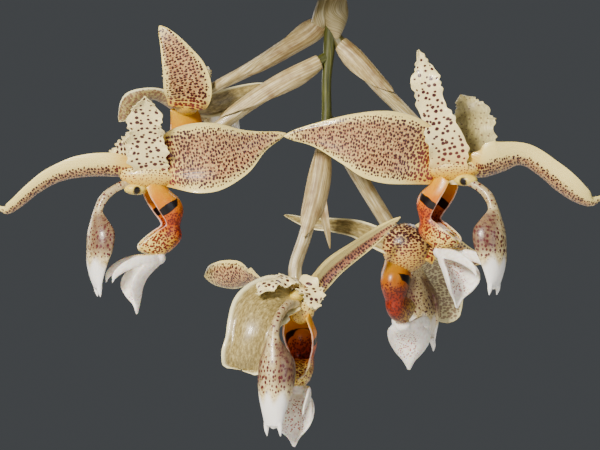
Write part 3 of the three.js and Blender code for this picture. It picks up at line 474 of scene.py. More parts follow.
def waxy_tepal(name, cell, stretch, dot, inner, flush, spots, outer):
    """Fleshy petal tissue: satin, with light carried under the skin and spots along its veins."""
    made, tree = material(name)
    yellow, pink, dots, _ = attribute(tree, "tint")
    _, _, side, skin = attribute(tree, "skin")
    bent = add(tree, "TexNoise", {0: skin, "Scale": 0.7, "Detail": 1}, out=1)
    place = add(tree, "MixRGB", {0: 0.5, 1: skin, 2: bent}, blend_type="ADD")
    cells = scaled(tree, place, 1 / (cell * stretch), 1 / cell, 1)
    near, own = scatter(tree, cells, 0.72)
    size = calc(tree, "MULTIPLY_ADD", own, dot[0], dot[1])
    size = calc(tree, "MULTIPLY", size, dots)
    edge = calc(tree, "SUBTRACT", size, near)
    mark = span(tree, edge, -0.04, 0.05, smooth=True)
    core = span(tree, edge, -0.02, 0.1, smooth=True)
    veins = scaled(tree, skin, 0.04, 1.4, 1)
    veins = fractal(tree, veins, 1.0, 3)
    fleck = fractal(tree, skin, 1.4, 3)
    flushed = span(tree, fleck, 0.35, 0.65, 0.45, 1)
    flushed = calc(tree, "MULTIPLY", flushed, pink)
    base = mix(tree, flushed, inner, flush)
    gold = mix(tree, veins, "#c08c00", "#dcb010")
    base = mix(tree, yellow, base, gold)
    warm = mix(tree, yellow, "#6c2628", "#a4352a")
    deep = mix(tree, yellow, spots, "#74201a")
    dark = mix(tree, core, warm, deep)
    front = mix(tree, mark, base, dark)
    mottle = scaled(tree, skin, 0.35, 0.8, 1)
    mottle = fractal(tree, mottle, 1.0, 4, 0.7)
    back = ramp(tree, mottle, *zip((0.3, 0.5, 0.7), outer))
    # Outside, the pink channel gives the sepal's own pale rim. Where a sepal's pale is given, it also
    # gives painted light over the whole outside.
    back = mix(tree, pink, back, "#e2dcae")
    back = mix(tree, yellow, back, "#dcc67e")
    through = calc(tree, "MULTIPLY", mark, 0.75)
    back = mix(tree, through, back, "#6a4438")
    shown = span(tree, side, -0.6, 0.6, smooth=True)
    colour = mix(tree, shown, back, front)
    surface(
        tree, 0.15, veins, Base_Color=colour, Roughness=0.36, Subsurface_Weight=0.12,
        Subsurface_Radius=(1, 0.8, 0.45), Subsurface_Scale=0.0012, Coat_Weight=0.2,
    )
    return made


# Places are [from the spray's left tip, behind the stem, drop] in mm, and angles in degrees.
# lip and arch are where the lip and the column spring from, and the yaws are the ways they look.
# hip and hip_size are the swelling that the sepals join in. Each sepal and petal has its midrib,
# the way its inner side looks, and its half width and cup along the midrib. The rest are
# exceptions: hub and collar end in (yellow, flush, spots), slim narrows a pouch, foot moves its
# dark eye, through shows the spots outside, bare clears half a sepal of them, and spread moves
# its plain margin. Two paint light into the colour: the back flower's pouch, which hangs in shade,
# is darkened evenly with painted shade, and pale lightens a sepal's whole outside as painted light.
FLOWERS = {
    "left": {
        "lip": [79, -8, 91],
        "yaw": 196, "column_yaw": 193, "shield_yaw": 198, "horn_yaw": 196, "tilt": 0,
        "hip": [76.5, -6.5, 87.5], "hip_size": [13.5, 6.5, 6.5],
        "collar": ([75, -11.5, 88], [14.5, 5, 6.2], (0.8, 0, 0.9)),
        "near": {
            "mid": [[80, -12, 82], [94, -17, 79.5], [107, -19, 78.5], [119, -17, 76],
                    [131, -13, 71], [143, -9, 67]],
            "face": [[0, -1, 0.2], [0, -1, 0.1]], "half": [12, 17.6, 18.2, 13.2, 5.4, 1],
            "cup": [30, 34, 34, 30, 25, 10],
        },
        "far": {
            "mid": [[80, -2, 82], [92, 10, 80], [102, 18, 79], [111, 25, 76], [119, 31, 72],
                    [127, 36, 68]],
            "face": [[0, 1, 0.2], [-0.3, 1, 0.1]], "half": [11, 16, 17, 13, 6.5, 1],
            "cup": [30, 34, 34, 30, 25, 10],
        },
        "dorsal": {
            "mid": [[70, -8, 86.8], [60, -8, 87], [50, -8, 87.2], [40, -8, 88], [32, -8, 89.6],
                    [25, -8, 92.4], [18, -8, 96.8], [10, -8, 103.4], [4, -8, 106.5],
                    [-1, -8, 103.5]],
            "face": [[0, -0.35, 1], [0, -0.3, 1]],
            "half": [9, 13, 13.6, 12, 9.6, 8.6, 7.6, 6.8, 5, 1],
            "cup": [-60, -80, -80, -80, -78, -75, -75, -72, -70, -60], "spread": 0.62,
        },
        "petal": {
            "mid": [[77, -8, 92], [76, -14.5, 85.5], [74.8, -20, 76.5], [74, -26, 67],
                    [74, -32, 58], [74.4, -38, 49.5]],
            "face": [[0, -1, 0.4], [0, -0.8, 0.6]], "half": [4.5, 8.5, 10, 8.6, 7.8, 1.5],
            "cup": [15, 18, 14, 10, 10, 20],
        },
        "petal_far": {
            "mid": [[72, -5, 82], [66, 2, 76], [60.5, 8, 75.5], [55, 14, 77]],
            "face": [[-0.7, -0.7, 0.1], [-0.8, -0.5, 0.1]], "half": [7, 9.2, 5, 1.2],
            "cup": [15, 10, 10, 15],
            "extra": {"fringe": 0.7, "tooth": 0.13, "waves": 4.5, "wave": 1.4},
        },
    },
    "right": {
        "lip": [220.5, -8, 88], "arch": [219.5, -8, 90], "foot": [13.2, 0, 2.2],
        "yaw": -30, "column_yaw": -29, "shield_yaw": -50, "horn_yaw": -34, "tilt": 0,
        "hip": [224, -6.5, 84], "hip_size": [13, 7, 6.5],
        "collar": ([226, -11.5, 84.4], [13.5, 5, 6.6], (1, 0, 0.9)),
        "near": {
            "mid": [[219, -11, 80.5], [201, -18, 75], [187, -20, 72.8], [173, -19, 70],
                    [157, -17, 68], [142, -16, 68.5]],
            "face": [[0, -1, 0.2], [0, -1, 0.1]], "half": [13, 18.6, 18.4, 13, 6, 1.2],
            "cup": [30, 34, 34, 30, 25, 20],
        },
        "far": {
            "mid": [[219, -5, 80], [205, 9, 76], [194, 18, 74], [185, 25, 72], [177, 31, 70],
                    [169, 36, 68]],
            "face": [[0, 1, 0.2], [0.3, 1, 0.1]], "half": [11, 16, 17, 13, 6.5, 1],
            "cup": [30, 34, 34, 30, 25, 10],
        },
        "dorsal": {
            "mid": [[230, -8, 84], [240, -9, 87], [250, -9, 85], [260, -9, 82], [269.5, -9, 87.5],
                    [279, -9, 95.5], [288, -9, 101], [295.5, -9, 102.5], [301, -9, 98]],
            "face": [[0, -0.5, 1], [0, -0.2, 1], [0, -0.2, 1]],
            "half": [9, 16, 18, 13, 13.5, 15, 12, 6.5, 1],
            "cup": [-60, -80, -80, -80, -80, -78, -75, -70, -60], "spread": 0.62,
        },
        "petal": {
            "mid": [[226, -8, 90], [224.4, -15, 82], [222, -19, 71], [217.6, -20.5, 60],
                    [213.8, -21, 50], [212, -20, 41], [210.8, -19, 33.5], [208.6, -18, 26]],
            "face": [[0, -1, 0.1], [0, -1, 0]], "half": [4.5, 9.4, 9.4, 7.6, 6.8, 7.4, 3.8, 0.6],
            "cup": [15, 20, 16, 12, 8, 10, 20],
        },
        "petal_far": {
            "mid": [[229.5, -4, 80.5], [236, 4, 67], [236, 9, 57], [231, 13, 47]],
            "face": [[0.3, 1, 0.1], [0, 1, 0.2]], "half": [8, 11.5, 9.5, 2.5],
            "cup": [15, 12, 10, 15], "through": 0.5,
        },
    },
    "front": {
        "lip": [149.5, -22, 155.4], "arch": [151.5, -22, 150.5], "foot": [3, 0, -8],
        "grow": [1, 0.86, 1.13],
        "yaw": 257, "column_yaw": 241, "shield_yaw": 257, "horn_yaw": 257, "tilt": 0,
        "hip": [152, -18, 150], "hip_size": [8, 9, 7],
        "collar": ([150.6, -23, 154], [6.6, 5, 7.4], (0.7, 0, 0.9)),
        "near": {
            "mid": [[154, -18, 146.5], [163.5, -13, 135], [174.5, -10, 126], [187, -8, 117.2],
                    [200, -7, 108.6]],
            "face": [[0.3, -0.8, 0.6], [0.2, -0.8, 0.6]], "half": [7, 8, 7.6, 5.2, 1],
            "cup": [50, 60, 65, 60, 50], "spread": 0.9, "bare": -1,
        },
        "far": {
            "mid": [[149, -16, 149], [134, -4, 142], [121, 6, 139.5], [111, 16, 139.5],
                    [101.5, 27, 138.5]],
            "face": [[0.2, 0.7, -0.8], [-0.2, -0.5, 0.8], [-0.2, -0.8, 0.5], [-0.2, -0.9, 0.3]],
            "half": [7, 8, 9.5, 9.5, 4.5], "cup": [40, 40, -50, -50, -30],
        },
        "dorsal": {
            "mid": [[147, -25, 149], [138.5, -32, 147.5], [131, -38, 152.5], [126.5, -42, 160.5],
                    [124.2, -43.5, 169.5], [122.4, -42, 177], [121.6, -37, 183]],
            "face": [[0.2, 1, 0.6], [0.3, 1, 0.1], [0.2, 0.8, -0.4]],
            "half": [8, 14.4, 16.6, 14.6, 12.8, 12, 9.4], "cup": [20, 40, 48, 48, 45, 40, 30],
            "through": 0.1, "extra": {"flare": 4, "wave": 0.9, "blunt": 0.04},
        },
        "petal": {
            "mid": [[152, -20, 143], [147, -26, 139], [140, -31, 139], [133, -36, 142],
                    [130, -40, 147]],
            "face": [[0, -0.5, -1], [-0.5, -0.6, -0.8]], "half": [7, 6.5, 6, 5.5, 1.5],
            "cup": [-15, -25, -30, -30, -20],
        },
        "petal_far": {
            "mid": [[150.5, -21, 147], [153.5, -26, 143.5], [156, -31, 147], [156.5, -34, 154]],
            "face": [[0.3, -1, -0.4], [0.4, -1, 0.2]], "half": [4.5, 6, 6, 2],
            "cup": [15, 20, 20, 15],
        },
    },
    "back": {
        # Painted shade: this flower hangs in shade, so its pouch is darkened evenly toward
        # near-black.
        "lip": [198, 14, 126.5], "arch": [198.5, 14, 131], "slim": [1, 0.85], "painted_shade": 0.4,
        "yaw": 66, "column_yaw": 68, "shield_yaw": 80, "horn_yaw": 76, "tilt": -16,
        "hip": [203.5, 15, 124], "hip_size": [12, 10, 12.5], "hub": (0.6, 0.7, 1.5),
        "near": {
            "mid": [[200, 16, 124], [190, 18, 119.5], [178, 20, 114.5], [166, 21, 112.4],
                    [154, 22, 111.4], [142, 22, 107.5]],
            "face": [[0, 0.6, 0.8], [0, 0.9, 0.5], [0, 0.9, 0.4]],
            "half": [9, 7.2, 5.6, 4.2, 2.8, 0.8], "cup": [20, 30, 34, 30, 25, 10],
        },
        "far": {
            "mid": [[209, 12, 128], [214, 15, 119], [224, 22, 124], [236, 28, 129],
                    [249, 33, 131]],
            "face": [[0.1, -1, 0], [0.3, -1, 0.2], [0, -0.8, 0.6]], "half": [9, 9, 8, 5, 1],
            "cup": [20, 30, 30, 30, 10],
        },
        "dorsal": {
            "mid": [[210, 26, 126], [218, 40, 129], [223.5, 50, 139], [225.5, 54, 151],
                    [226.5, 54, 163]],
            "face": [[0.1, 1, -0.5], [0.2, 1, -0.1], [0.2, 1, 0]], "half": [8, 10, 9.6, 9.6, 6],
            # pale is painted light: this sepal hangs in shade at the back, and its whole outside is
            # lightened to make up for it.
            "cup": [-20, -28, -30, -30, -20], "through": 1.25, "pale": 0.7,
        },
        "petal": {
            "mid": [[199, 22, 118], [197, 33, 114], [196, 44, 111], [197, 54, 110]],
            "face": [[-1, 0, 0.4], [-1, 0, 0.3]], "half": [6, 7, 6, 1.5], "cup": [15, 10, 10, 10],
        },
        "petal_far": {
            "mid": [[208, 22, 120], [212, 34, 119], [215, 45, 119], [219, 54, 120]],
            "face": [[0.4, 0, -1], [0.4, 0, -1]], "half": [6, 7, 6, 1.5], "cup": [15, 10, 10, 10],
        },
    },
    "upper": {
        "lip": [88.5, 38, 55],
        "yaw": 65, "column_yaw": 65, "shield_yaw": 65, "horn_yaw": 65, "tilt": -52,
        "hip": [92, 36.5, 51.5], "hip_size": [6.5, 7.5, 5],
        "near": {
            "mid": [[92.5, 31, 52], [93.2, 26, 45], [91.6, 23, 36], [88, 22, 27.5], [83.6, 22, 19],
                    [78.8, 23, 11.5]],
            "face": [[0, -1, 0.1], [0, -1, 0.1]], "half": [10, 12.6, 12, 9, 5.4, 1.5],
            "cup": [25, 30, 30, 28, 30, 30],
        },
        "far": {
            "mid": [[95, 42, 51], [105, 47, 50.5], [116, 51, 46.5], [127, 54, 42.5],
                    [137, 56, 40]],
            "face": [[0.2, 1, -0.3], [0, 1, 0]], "half": [6, 6.6, 5.6, 3.6, 1],
            "cup": [20, 25, 25, 25, 10],
        },
        "dorsal": {
            "mid": [[86.5, 37, 51.5], [76, 34, 47.5], [68, 33, 49.5], [62, 34, 53.5],
                    [57.5, 36, 59.5]],
            "face": [[0, 0.5, -1], [0.3, 0.5, -1], [0.8, 0.4, -0.6]],
            "half": [6, 7, 7.4, 5.6, 1.5], "cup": [30, 50, 60, 55, 40], "through": 1.1,
            "extra": {"flare": 0},
        },
        "petal": {
            "mid": [[89.5, 38.5, 48], [87, 38, 39], [85.5, 37, 32], [85, 37, 26]],
            "face": [[0, -1, 0.2], [0, -1, 0.1]], "half": [5, 6, 5.5, 1.5],
            "cup": [15, 10, 10, 10],
        },
        "petal_far": {
            "mid": [[92, 46, 45], [95, 54, 39], [98, 61, 34], [102, 68, 30]],
            "face": [[0.3, 1, 0.5], [0.4, 0.8, 0.6]], "half": [6, 7, 6, 1.5],
            "cup": [15, 10, 10, 10],
        },
    },
}


def sepal_tint(t, u, inside, spec):
    """Inside: yellow at the base, flushed, spotted but for a plain margin. Outside: a pale rim, and
    painted light over all of it where pale is given.
    """
    rim = np.abs(u) / spec.get("spread", 1)
    yellow = (1 - fade(t, 0.02, 0.2)) * (0.9 if inside else 0.5)
    dots = (1 - fade(rim, 0.8, 0.95)) * (1.3 - 0.3 * fade(t, 0.05, 0.3)) * (1 - fade(t, 0.94, 0.99))
    if inside:
        pink = fade(t, 0.06, 0.2) * (1 - fade(t, 0.8, 1)) * (1 - fade(rim, 0.55, 0.88))
    else:
        # Painted light: pale lightens the whole outside of a sepal that hangs in shade. Without it,
        # this is only the sepal's own pale rim.
        pink = np.maximum(spec.get("pale", 0), fade(np.abs(u), 0.78, 0.9))
        dots = dots * spec.get("through", 0.15)
    if "bare" in spec:
        half = 1 - fade(u * spec["bare"], -0.15, 0.1)
        pink, dots = 1.6 * pink * half, dots * (0.15 + 0.85 * half)
    return np.stack(np.broadcast_arrays(yellow, pink, dots), -1)


def petal_tint(t, u, inside, spec):
    """Yellow at the base, with sparser spots; outside, they show through and the rim is paler."""
    rim = np.abs(u)
    yellow = 0.95 * (1 - fade(t, 0, 0.34))
    dots = (1 - fade(rim, 0.78, 0.95)) * fade(t, 0.02, 0.12) * (1 - 0.25 * fade(t, 0.7, 1))
    if not inside:
        dots = dots * spec.get("through", 0.15)
    return np.stack(np.broadcast_arrays(yellow, 0 if inside else 0.4 * rim, dots), -1)


def egg(centre, sizes, axes, rings=24, sides=36, tint=(0.0, 0.0, 0.0)):
    """A closed egg with its half sizes along three axes; its skin is its own surface in mm."""
    round_it = 2 * np.pi * np.arange(sides) / sides
    polar, turn = np.meshgrid(np.linspace(0.02, np.pi - 0.02, rings + 1), round_it, indexing="ij")
    ball = np.stack([np.sin(polar) * np.cos(turn), np.sin(polar) * np.sin(turn), np.cos(polar)], -1)
    points = (ball * sizes).reshape(-1, 3) @ np.asarray(axes, float) + centre
    skin = np.stack([polar * sizes[2], ball[..., 0] * sizes[0] * 1.2, 1 + 0 * turn], -1)
    shade = np.broadcast_to(tint, points.shape)
    return points, closed_faces(rings, sides), skin.reshape(-1, 3), shade


def organ(spec, shade, seed, **form):
    """One sepal or petal, turned from the spray's measures to the part's."""
    way = np.asarray(spec["face"], float) * [1, 1, -1]
    form = {**form, **spec.get("extra", {})}
    tint = lambda t, u, inside: shade(t, u, inside, spec)
    return blade(spot(spec["mid"]), way, spec["half"], spec["cup"], tint=tint, seed=seed, **form)


sepal_wax = waxy_tepal(
    "waxy_spotted_sepal", 2.0, 0.68, (0.17, 0.27), "#e8d684", "#9c6446", "#360d10",
    ("#665830", "#93834f", "#c2b37a"),
)
petal_wax = waxy_tepal(
    "waxy_spotted_petal", 3.2, 0.85, (0.17, 0.2), "#f2e4a8", "#e2c594", "#3c1012",
    ("#9a8a50", "#c2b474", "#e2d798"),
)
THICK = (3.4, 1.3, 0.95, 0.9, 0.85, 0.8)
SOFT = {"thick": THICK, "long": 70, "wide": 36, "flare": 2.2, "wave": 0.5, "waves": 1.7}
CRISP = {"thick": (3, 1.2, 1, 0.9, 0.8), "wave": 1.3, "waves": 3.2, "tooth": 0.08, "fringe": 0.45,
         "long": 110, "wide": 26, "rim": 0.5}
for number, (name, flower) in enumerate(FLOWERS.items()):
    laterals = []
    hub = flower["hip"], flower["hip_size"], flower.get("hub", (1, 0, 0.6))
    collar = [flower["collar"]] if "collar" in flower else []
    for place, half, (yellow, pink, dots) in [hub, *collar]:
        middle = spot([place])[0]
        points, faces, skin, _ = egg(middle, half, np.eye(3))
        low = fade((middle[2] - points[:, 2]) / half[2], -0.7, 0.6)
        tint = np.stack([yellow * low, pink + 0 * low, dots * (1 - 0.45 * low)], 1)
        laterals.append((points, faces, skin, tint))
    laterals += [
        organ(flower[which], sepal_tint, number + 1 + 0.5 * i, **SOFT)
        for i, which in enumerate(("near", "far"))
    ]
    piece(f"{name}_lateral_sepals_wax", laterals, sepal_wax, "sepal", f"{name}_flower_lateral_sepals")
    top = organ(flower["dorsal"], sepal_tint, number + 7, **SOFT)
    piece(f"{name}_dorsal_sepal_wax", [top], sepal_wax, "sepal", f"{name}_flower_dorsal_sepal")
    for i, (which, side) in enumerate((("petal", "near"), ("petal_far", "far"))):
        crisp = organ(flower[which], petal_tint, number + 13 + i, **CRISP)
        piece(f"{name}_petal_{side}_wax", [crisp], petal_wax, "petal", f"{name}_flower_petal_{side}")

# The lips: each grew as one thick, waxy piece. A boat-shaped pouch with a black band across each
# wall runs down and forward into a blunt, spotted snout; below it are two flat, sickle-shaped
# horns and a folded, pointed shield. The pouch is orange, with pale rims, and the rest ivory.
# Profiles are (ahead, drop) and places (ahead, aside, drop) from where a lip springs, in mm.
LIP = {
    "keel": [[-1, -3], [-5.2, 4.2], [-10.4, 8.8], [-12.4, 14], [-11.4, 19], [-10.7, 22.3],
             [-11.6, 27], [-9.2, 31], [-3.5, 35], [3, 35.6], [7.6, 34]],
    "rim": [[7, 3], [5.2, 7.5], [3.2, 11], [0.5, 15], [-2.2, 18.8], [-3, 21.5], [0.5, 24],
            [4.5, 27], [8, 30], [9.2, 31.6], [9.4, 32.6]],
    "wide": [5.5, 7, 7.8, 7.5, 6.5, 5.6, 5.8, 6, 5.2, 3.6, 1.6],
    "shield_keel": [[-1, 39.5], [3, 43.5], [6.5, 47.5], [8.5, 52], [9.2, 56.5], [9.8, 61],
                    [10.4, 65.5]],
    "shield_rim": [[4.5, 39], [10, 42.5], [14.5, 46.5], [16.2, 52], [14.4, 57], [12, 61],
                   [10.8, 66]],
    "shield_wide": [4, 8.6, 10.8, 10.4, 7.2, 3, 0.3],
    "horn": [[-1.5, 2, 38.8], [4, 5.4, 38.6], [11, 7.6, 39.4], [18, 8.4, 42], [23, 8, 46],
             [24.6, 7.4, 50.5]],
    "horn_radius": [1.8, 2.7, 2.8, 2.4, 1.6, 0.2],
    "thick": [1.6, 1.5, 1.5, 1.8, 2.4],
    "shield_thick": [3, 2.2, 1.8, 1.6, 1.6, 1.4, 1],
    "pivot": [2.0, 0, 40],
    "belly": ([-1.5, 0, 30.2], [8.2, 5.6, 4.4]),
    "foot": ([10.6, 0, 3.6], [6.4, 4.2, 3]),
    "heart": ([-0.6, 0, 38], [3.6, 4.2, 3.2]),
}
FUSE_SIZE, FUSE_KEEP = 0.4, 0.4


def flower_axes(yaw, tilt):
    """The rows are ahead (towards the column), aside and up, in the part's frame."""
    spin = Matrix.Rotation(math.radians(yaw), 3, "Z") @ Matrix.Rotation(math.radians(tilt), 3, "Y")
    return np.array(spin.transposed())


def hull(keel, rim, wide, thick, long, across, hand, open_to=2.0, steep=1.0):
    """Half-open boat between its keel and its two rims, as (ahead, aside, drop)."""
    t = np.linspace(0, 1, long + 1)
    u = np.linspace(-1, 1, across + 1)
    low, high = along(keel, t)[:, None], along(rim, t)[:, None]
    climb = (1 - np.cos(np.abs(u) * np.pi / 2)) ** steep
    side = np.sin(np.abs(u) * open_to) * np.sign(u) * hand
    profile = low + (high - low) * climb[None, :, None]
    at = np.stack([profile[..., 0], along(wide, t)[:, None] * side, profile[..., 1]], -1)
    return at, (along(thick, t) / 2)[:, None] * (0.6 + 0.4 * (1 - u**2))


def waxy_lip():
    """Thick, waxy tissue: glossy where it is orange, satin on the ivory shield and horns."""
    made, tree = material("waxy_orange_lip")
    ahead, _, drop, local = attribute(tree, "skin")
    white, eye, spotted, _ = attribute(tree, "tint")
    cloud = fractal(tree, local, 0.28, 3)
    depth = span(tree, drop, -3, 36)
    depth = calc(tree, "MULTIPLY_ADD", cloud, 0.22, depth)
    oranges = (0.16, "#d09c00"), (0.42, "#c87c00"), (0.56, "#be6000"), (0.72, "#ac4402")
    body = ramp(tree, depth, *oranges, (0.95, "#d4a030"))
    keel = span(tree, ahead, -5, -11.5, smooth=True)
    low = span(tree, drop, 13, 21, smooth=True)
    keel = calc(tree, "MULTIPLY", keel, low)
    body = mix(tree, keel, body, "#a83008")
    snout = span(tree, ahead, -6, 3, smooth=True)
    low = span(tree, drop, 23, 28, smooth=True)
    snout = calc(tree, "MULTIPLY", snout, low)
    body = mix(tree, snout, body, "#e6ca6c")
    fore = span(tree, ahead, 5, 8, smooth=True)
    high = span(tree, drop, 11, 8, smooth=True)
    crown = calc(tree, "MULTIPLY", fore, high)
    high = span(tree, drop, -2, -5, smooth=True)
    crown = calc(tree, "MAXIMUM", crown, high)
    body = mix(tree, crown, body, "#dcc25c")
    near = add(tree, "TexVoronoi", {0: local, "Scale": 0.86, "Randomness": 0.9})
    size = calc(tree, "MULTIPLY", spotted, 0.52)
    dots = calc(tree, "SUBTRACT", size, near)
    dots = span(tree, dots, -0.05, 0.07, smooth=True)
    ivory = fractal(tree, local, 0.5, 3)
    ivory = ramp(tree, ivory, (0.3, "#e6dcd0"), (0.6, "#faf7f0"))
    body = mix(tree, white, body, ivory)
    rose = mix(tree, white, "#6e2014", "#a8655f")
    body = mix(tree, dots, body, rose)
    off = calc(tree, "MULTIPLY_ADD", ahead, -0.62, drop)
    off = calc(tree, "SUBTRACT", off, 15.5)
    off = calc(tree, "ABSOLUTE", off)
    off = calc(tree, "MULTIPLY_ADD", cloud, 1.2, off)
    middle = calc(tree, "ADD", ahead, 3.6)
    middle = calc(tree, "ABSOLUTE", middle)
    reach = span(tree, middle, 0, 5, 3.3, 2.6, smooth=True)
    band = calc(tree, "SUBTRACT", reach, off)
    band = span(tree, band, -0.15, 0.2, smooth=True)
    front = span(tree, ahead, -9.3, -8.6, smooth=True)
    band = calc(tree, "MULTIPLY", band, front)
    plain = span(tree, white, 0.1, 0.5, 1, 0)
    band = calc(tree, "MULTIPLY", band, plain)
    # The band and the eye are the lip's own black marks. The eye channel also carries painted shade,
    # which darkens a shaded flower's whole pouch evenly.
    dark = calc(tree, "MAXIMUM", band, eye)
    body = mix(tree, dark, body, "#0e0709")
    gloss = span(tree, white, 0, 1, 0.32, 0.42)
    surface(
        tree, 0.1, cloud, Base_Color=body, Roughness=gloss, Specular_IOR_Level=0.35,
        Subsurface_Weight=0.3, Subsurface_Radius=(1, 0.55, 0.2), Subsurface_Scale=0.003,
        Coat_Weight=0.05,
    )
    return made


def lip_tint(points, rims, foot, painted_shade):
    """Where the lip is ivory, dark at its foot, and spotted, from its own ahead, aside, drop; a
    flower that hangs in shade also has its whole pouch darkened evenly with painted shade.
    """
    ahead, aside, drop = points.T
    white = fade(drop - 0.05 * ahead, 35.6, 36.8)
    edge = np.min(np.linalg.norm(points[:, None] - rims[None], axis=2), axis=1)
    line = (1 - fade(edge, 0.45, 0.8)) * fade(drop, 4, 9) * (1 - fade(drop, 34, 36))
    eye = 1 - fade(np.hypot(ahead - foot[0] - 0.6, 0.9 * (drop - foot[2] - 0.8)), 1.5, 2.3)
    speckle = fade(drop - 0.5 * ahead, 15, 21) * (1 - fade(drop, 35, 38))
    shield = 0.72 * fade(drop, 40.5, 44) * (1 - fade(np.abs(aside), 4, 8)) * (1 - fade(drop, 57, 62))
    shield = shield * (1 - fade(ahead, 13, 15))
    # Painted shade: a flower that hangs in shade has its pouch darkened evenly, through the same
    # channel as its dark eye.
    dark = np.maximum(eye, painted_shade * (1 - white))
    spots = np.maximum(speckle, shield) * (1 - line)
    return np.stack([np.maximum(white, 0.4 * line), dark, spots], 1)


def fused(name, parts, size, keep, ease=4):
    """Joins overlapping closed parts into one smooth body, by remeshing them at a small size."""
    thing = bpy.data.objects.new(name, joined(name, parts))
    bpy.context.scene.collection.objects.link(thing)
    remesh = thing.modifiers.new("join", "REMESH")
    remesh.mode, remesh.voxel_size = "VOXEL", size * MM
    ease_it = thing.modifiers.new("ease", "SMOOTH")
    ease_it.factor, ease_it.iterations = 0.5, ease
    fewer = thing.modifiers.new("fewer", "DECIMATE")
    fewer.ratio = keep
    graph = bpy.context.evaluated_depsgraph_get()
    made = bpy.data.meshes.new_from_object(thing.evaluated_get(graph))
    bpy.data.objects.remove(thing)
    points = np.empty(len(made.vertices) * 3)
    made.vertices.foreach_get("co", points)
    polygons = [list(face.vertices) for face in made.polygons]
    bpy.data.meshes.remove(made)
    return points.reshape(-1, 3) / MM, polygons


lip_wax = waxy_lip()
flip = np.array([1, 1, -1])
pivot = np.array(LIP["pivot"])
for name, flower in FLOWERS.items():
    root, tilt = spot([flower["lip"]])[0], flower["tilt"]
    axes, turned, splayed = [
        flower_axes(flower[way], tilt) for way in ("yaw", "shield_yaw", "horn_yaw")
    ]
    at = lambda places: (np.asarray(places, float) * flip) @ axes + root
    joint = at([pivot])[0]
    about = lambda places, way: ((np.asarray(places, float) - pivot) * flip) @ way + joint
    deep, slim = flower.get("slim", [1, 1])
    keel, rim = np.array(LIP["keel"]) * [deep, 1], np.array(LIP["rim"]) * [deep, 1]
    wide = np.array(LIP["wide"]) * slim
    pouch, body = hull(keel, rim, wide, LIP["thick"], 90, 44, -1)
    rims = np.concatenate([pouch[:, 0], pouch[:, -1]])
    shell = skins(at(pouch), body, pouch, 0, None)
    folded, body = hull(
        LIP["shield_keel"], LIP["shield_rim"], LIP["shield_wide"], LIP["shield_thick"], 60, 36, -1,
        open_to=1.35, steep=1.2,
    )
    shield = skins(about(folded, turned), body, folded, 0, None)
    t = np.linspace(0.52, 1, 41)
    top, width = along(rim, t) + [-1.2, 1.8], along(wide, t)
    across = width[:, None] * np.linspace(-0.95, 0.95, 13)
    lid = np.stack(np.broadcast_arrays(top[:, :1], across, top[:, 1:]), -1)
    fill = skins(at(lid), 1.1, lid, 0, None)
    place, (long, half, high) = LIP["belly"]
    belly = egg(at([place])[0], [long * deep, half * slim, high], axes)
    eye_at = flower.get("foot", LIP["foot"][0])
    foot = egg(at([eye_at])[0], LIP["foot"][1], axes)
    heart = egg(at([LIP["heart"][0]])[0], LIP["heart"][1], axes)
    horns = [
        tube(
            about(np.array(LIP["horn"]) * [1, hand, 1], splayed), LIP["horn_radius"], 40, 22,
            splayed[1], flat=0.4,
        )
        for hand in (-1, 1)
    ]
    parts = [shell, fill, belly, foot, heart, shield, *horns]
    points, faces = fused(f"{name}_lip", parts, FUSE_SIZE, FUSE_KEEP)
    local = ((points - root) @ axes.T) * flip
    level = np.clip((local[:, 2:] - 38) / 3, 0, 1)
    own = ((points - joint) @ turned.T) * flip + pivot
    local = local + (own - local) * level
    tint = lip_tint(local, rims, eye_at, flower.get("painted_shade", 0))
    lip = points, faces, local, tint
    piece(f"{name}_lip_wax", [lip], lip_wax, "lip", f"{name}_flower_lip")

# The columns: the fused stamen and style, one fleshy arched piece with thin wings, opposite the
# lip. It is cream with fine maroon spots, browner on the wings, and glassy white at its end,
# which has two small teeth and the anther cap between them.
COLUMN = {
    "keel": [[6, 0.5], [14.5, 0.4], [21.3, 3.2], [27, 7.5], [30, 13.6], [32, 19.8], [33.5, 26],
             [34, 33], [34, 40], [32.8, 46.8], [30.8, 52.6]],
    "rim": [[6.5, 2.5], [14.7, 2.8], [20.4, 5], [25, 9], [28, 14.6], [26, 19], [23.2, 25],
            [24, 33], [26.4, 40], [28.2, 47.3], [29.2, 53]],
    "wide": [1.4, 1.3, 1.4, 1.6, 2.4, 5.6, 9.4, 10.2, 8.6, 6.4, 5],
    "thick": [3.6, 3.6, 3.4, 3.4, 3.4, 3.2, 3.2, 2.8, 2.8, 2.4, 1.8],
    "tooth": [[30, 3.8, 50], [29.8, 4.4, 53.8], [29.3, 4.3, 57]],
    "tooth_radius": [1.6, 1.2, 0.2],
    "cap": ([29.6, 0, 51.6], [1.7, 2.4, 2.6]),
    "length": 78,
}


def column_tint(t, u, inside):
    """White at the end, brown on the wings, and how thickly it is spotted."""
    rim = np.abs(u)
    white = fade(t + 0.03 * np.cos(9 * u), 0.77, 0.84)
    brown = (0.35 + 0.65 * fade(rim, 0.15, 0.6)) * fade(t, 0.38, 0.48) * (1 - fade(t, 0.68, 0.8))
    brown = np.maximum(brown, 0.5 * (1 - fade(t, 0.35, 0.5)) * fade(t, 0.02, 0.12))
    dots = fade(t, 0.04, 0.14) * (1 - fade(t, 0.75, 0.83)) * (0.75 + 0.35 * fade(t, 0.5, 0.66))
    return np.stack(np.broadcast_arrays(white, brown, dots), -1)


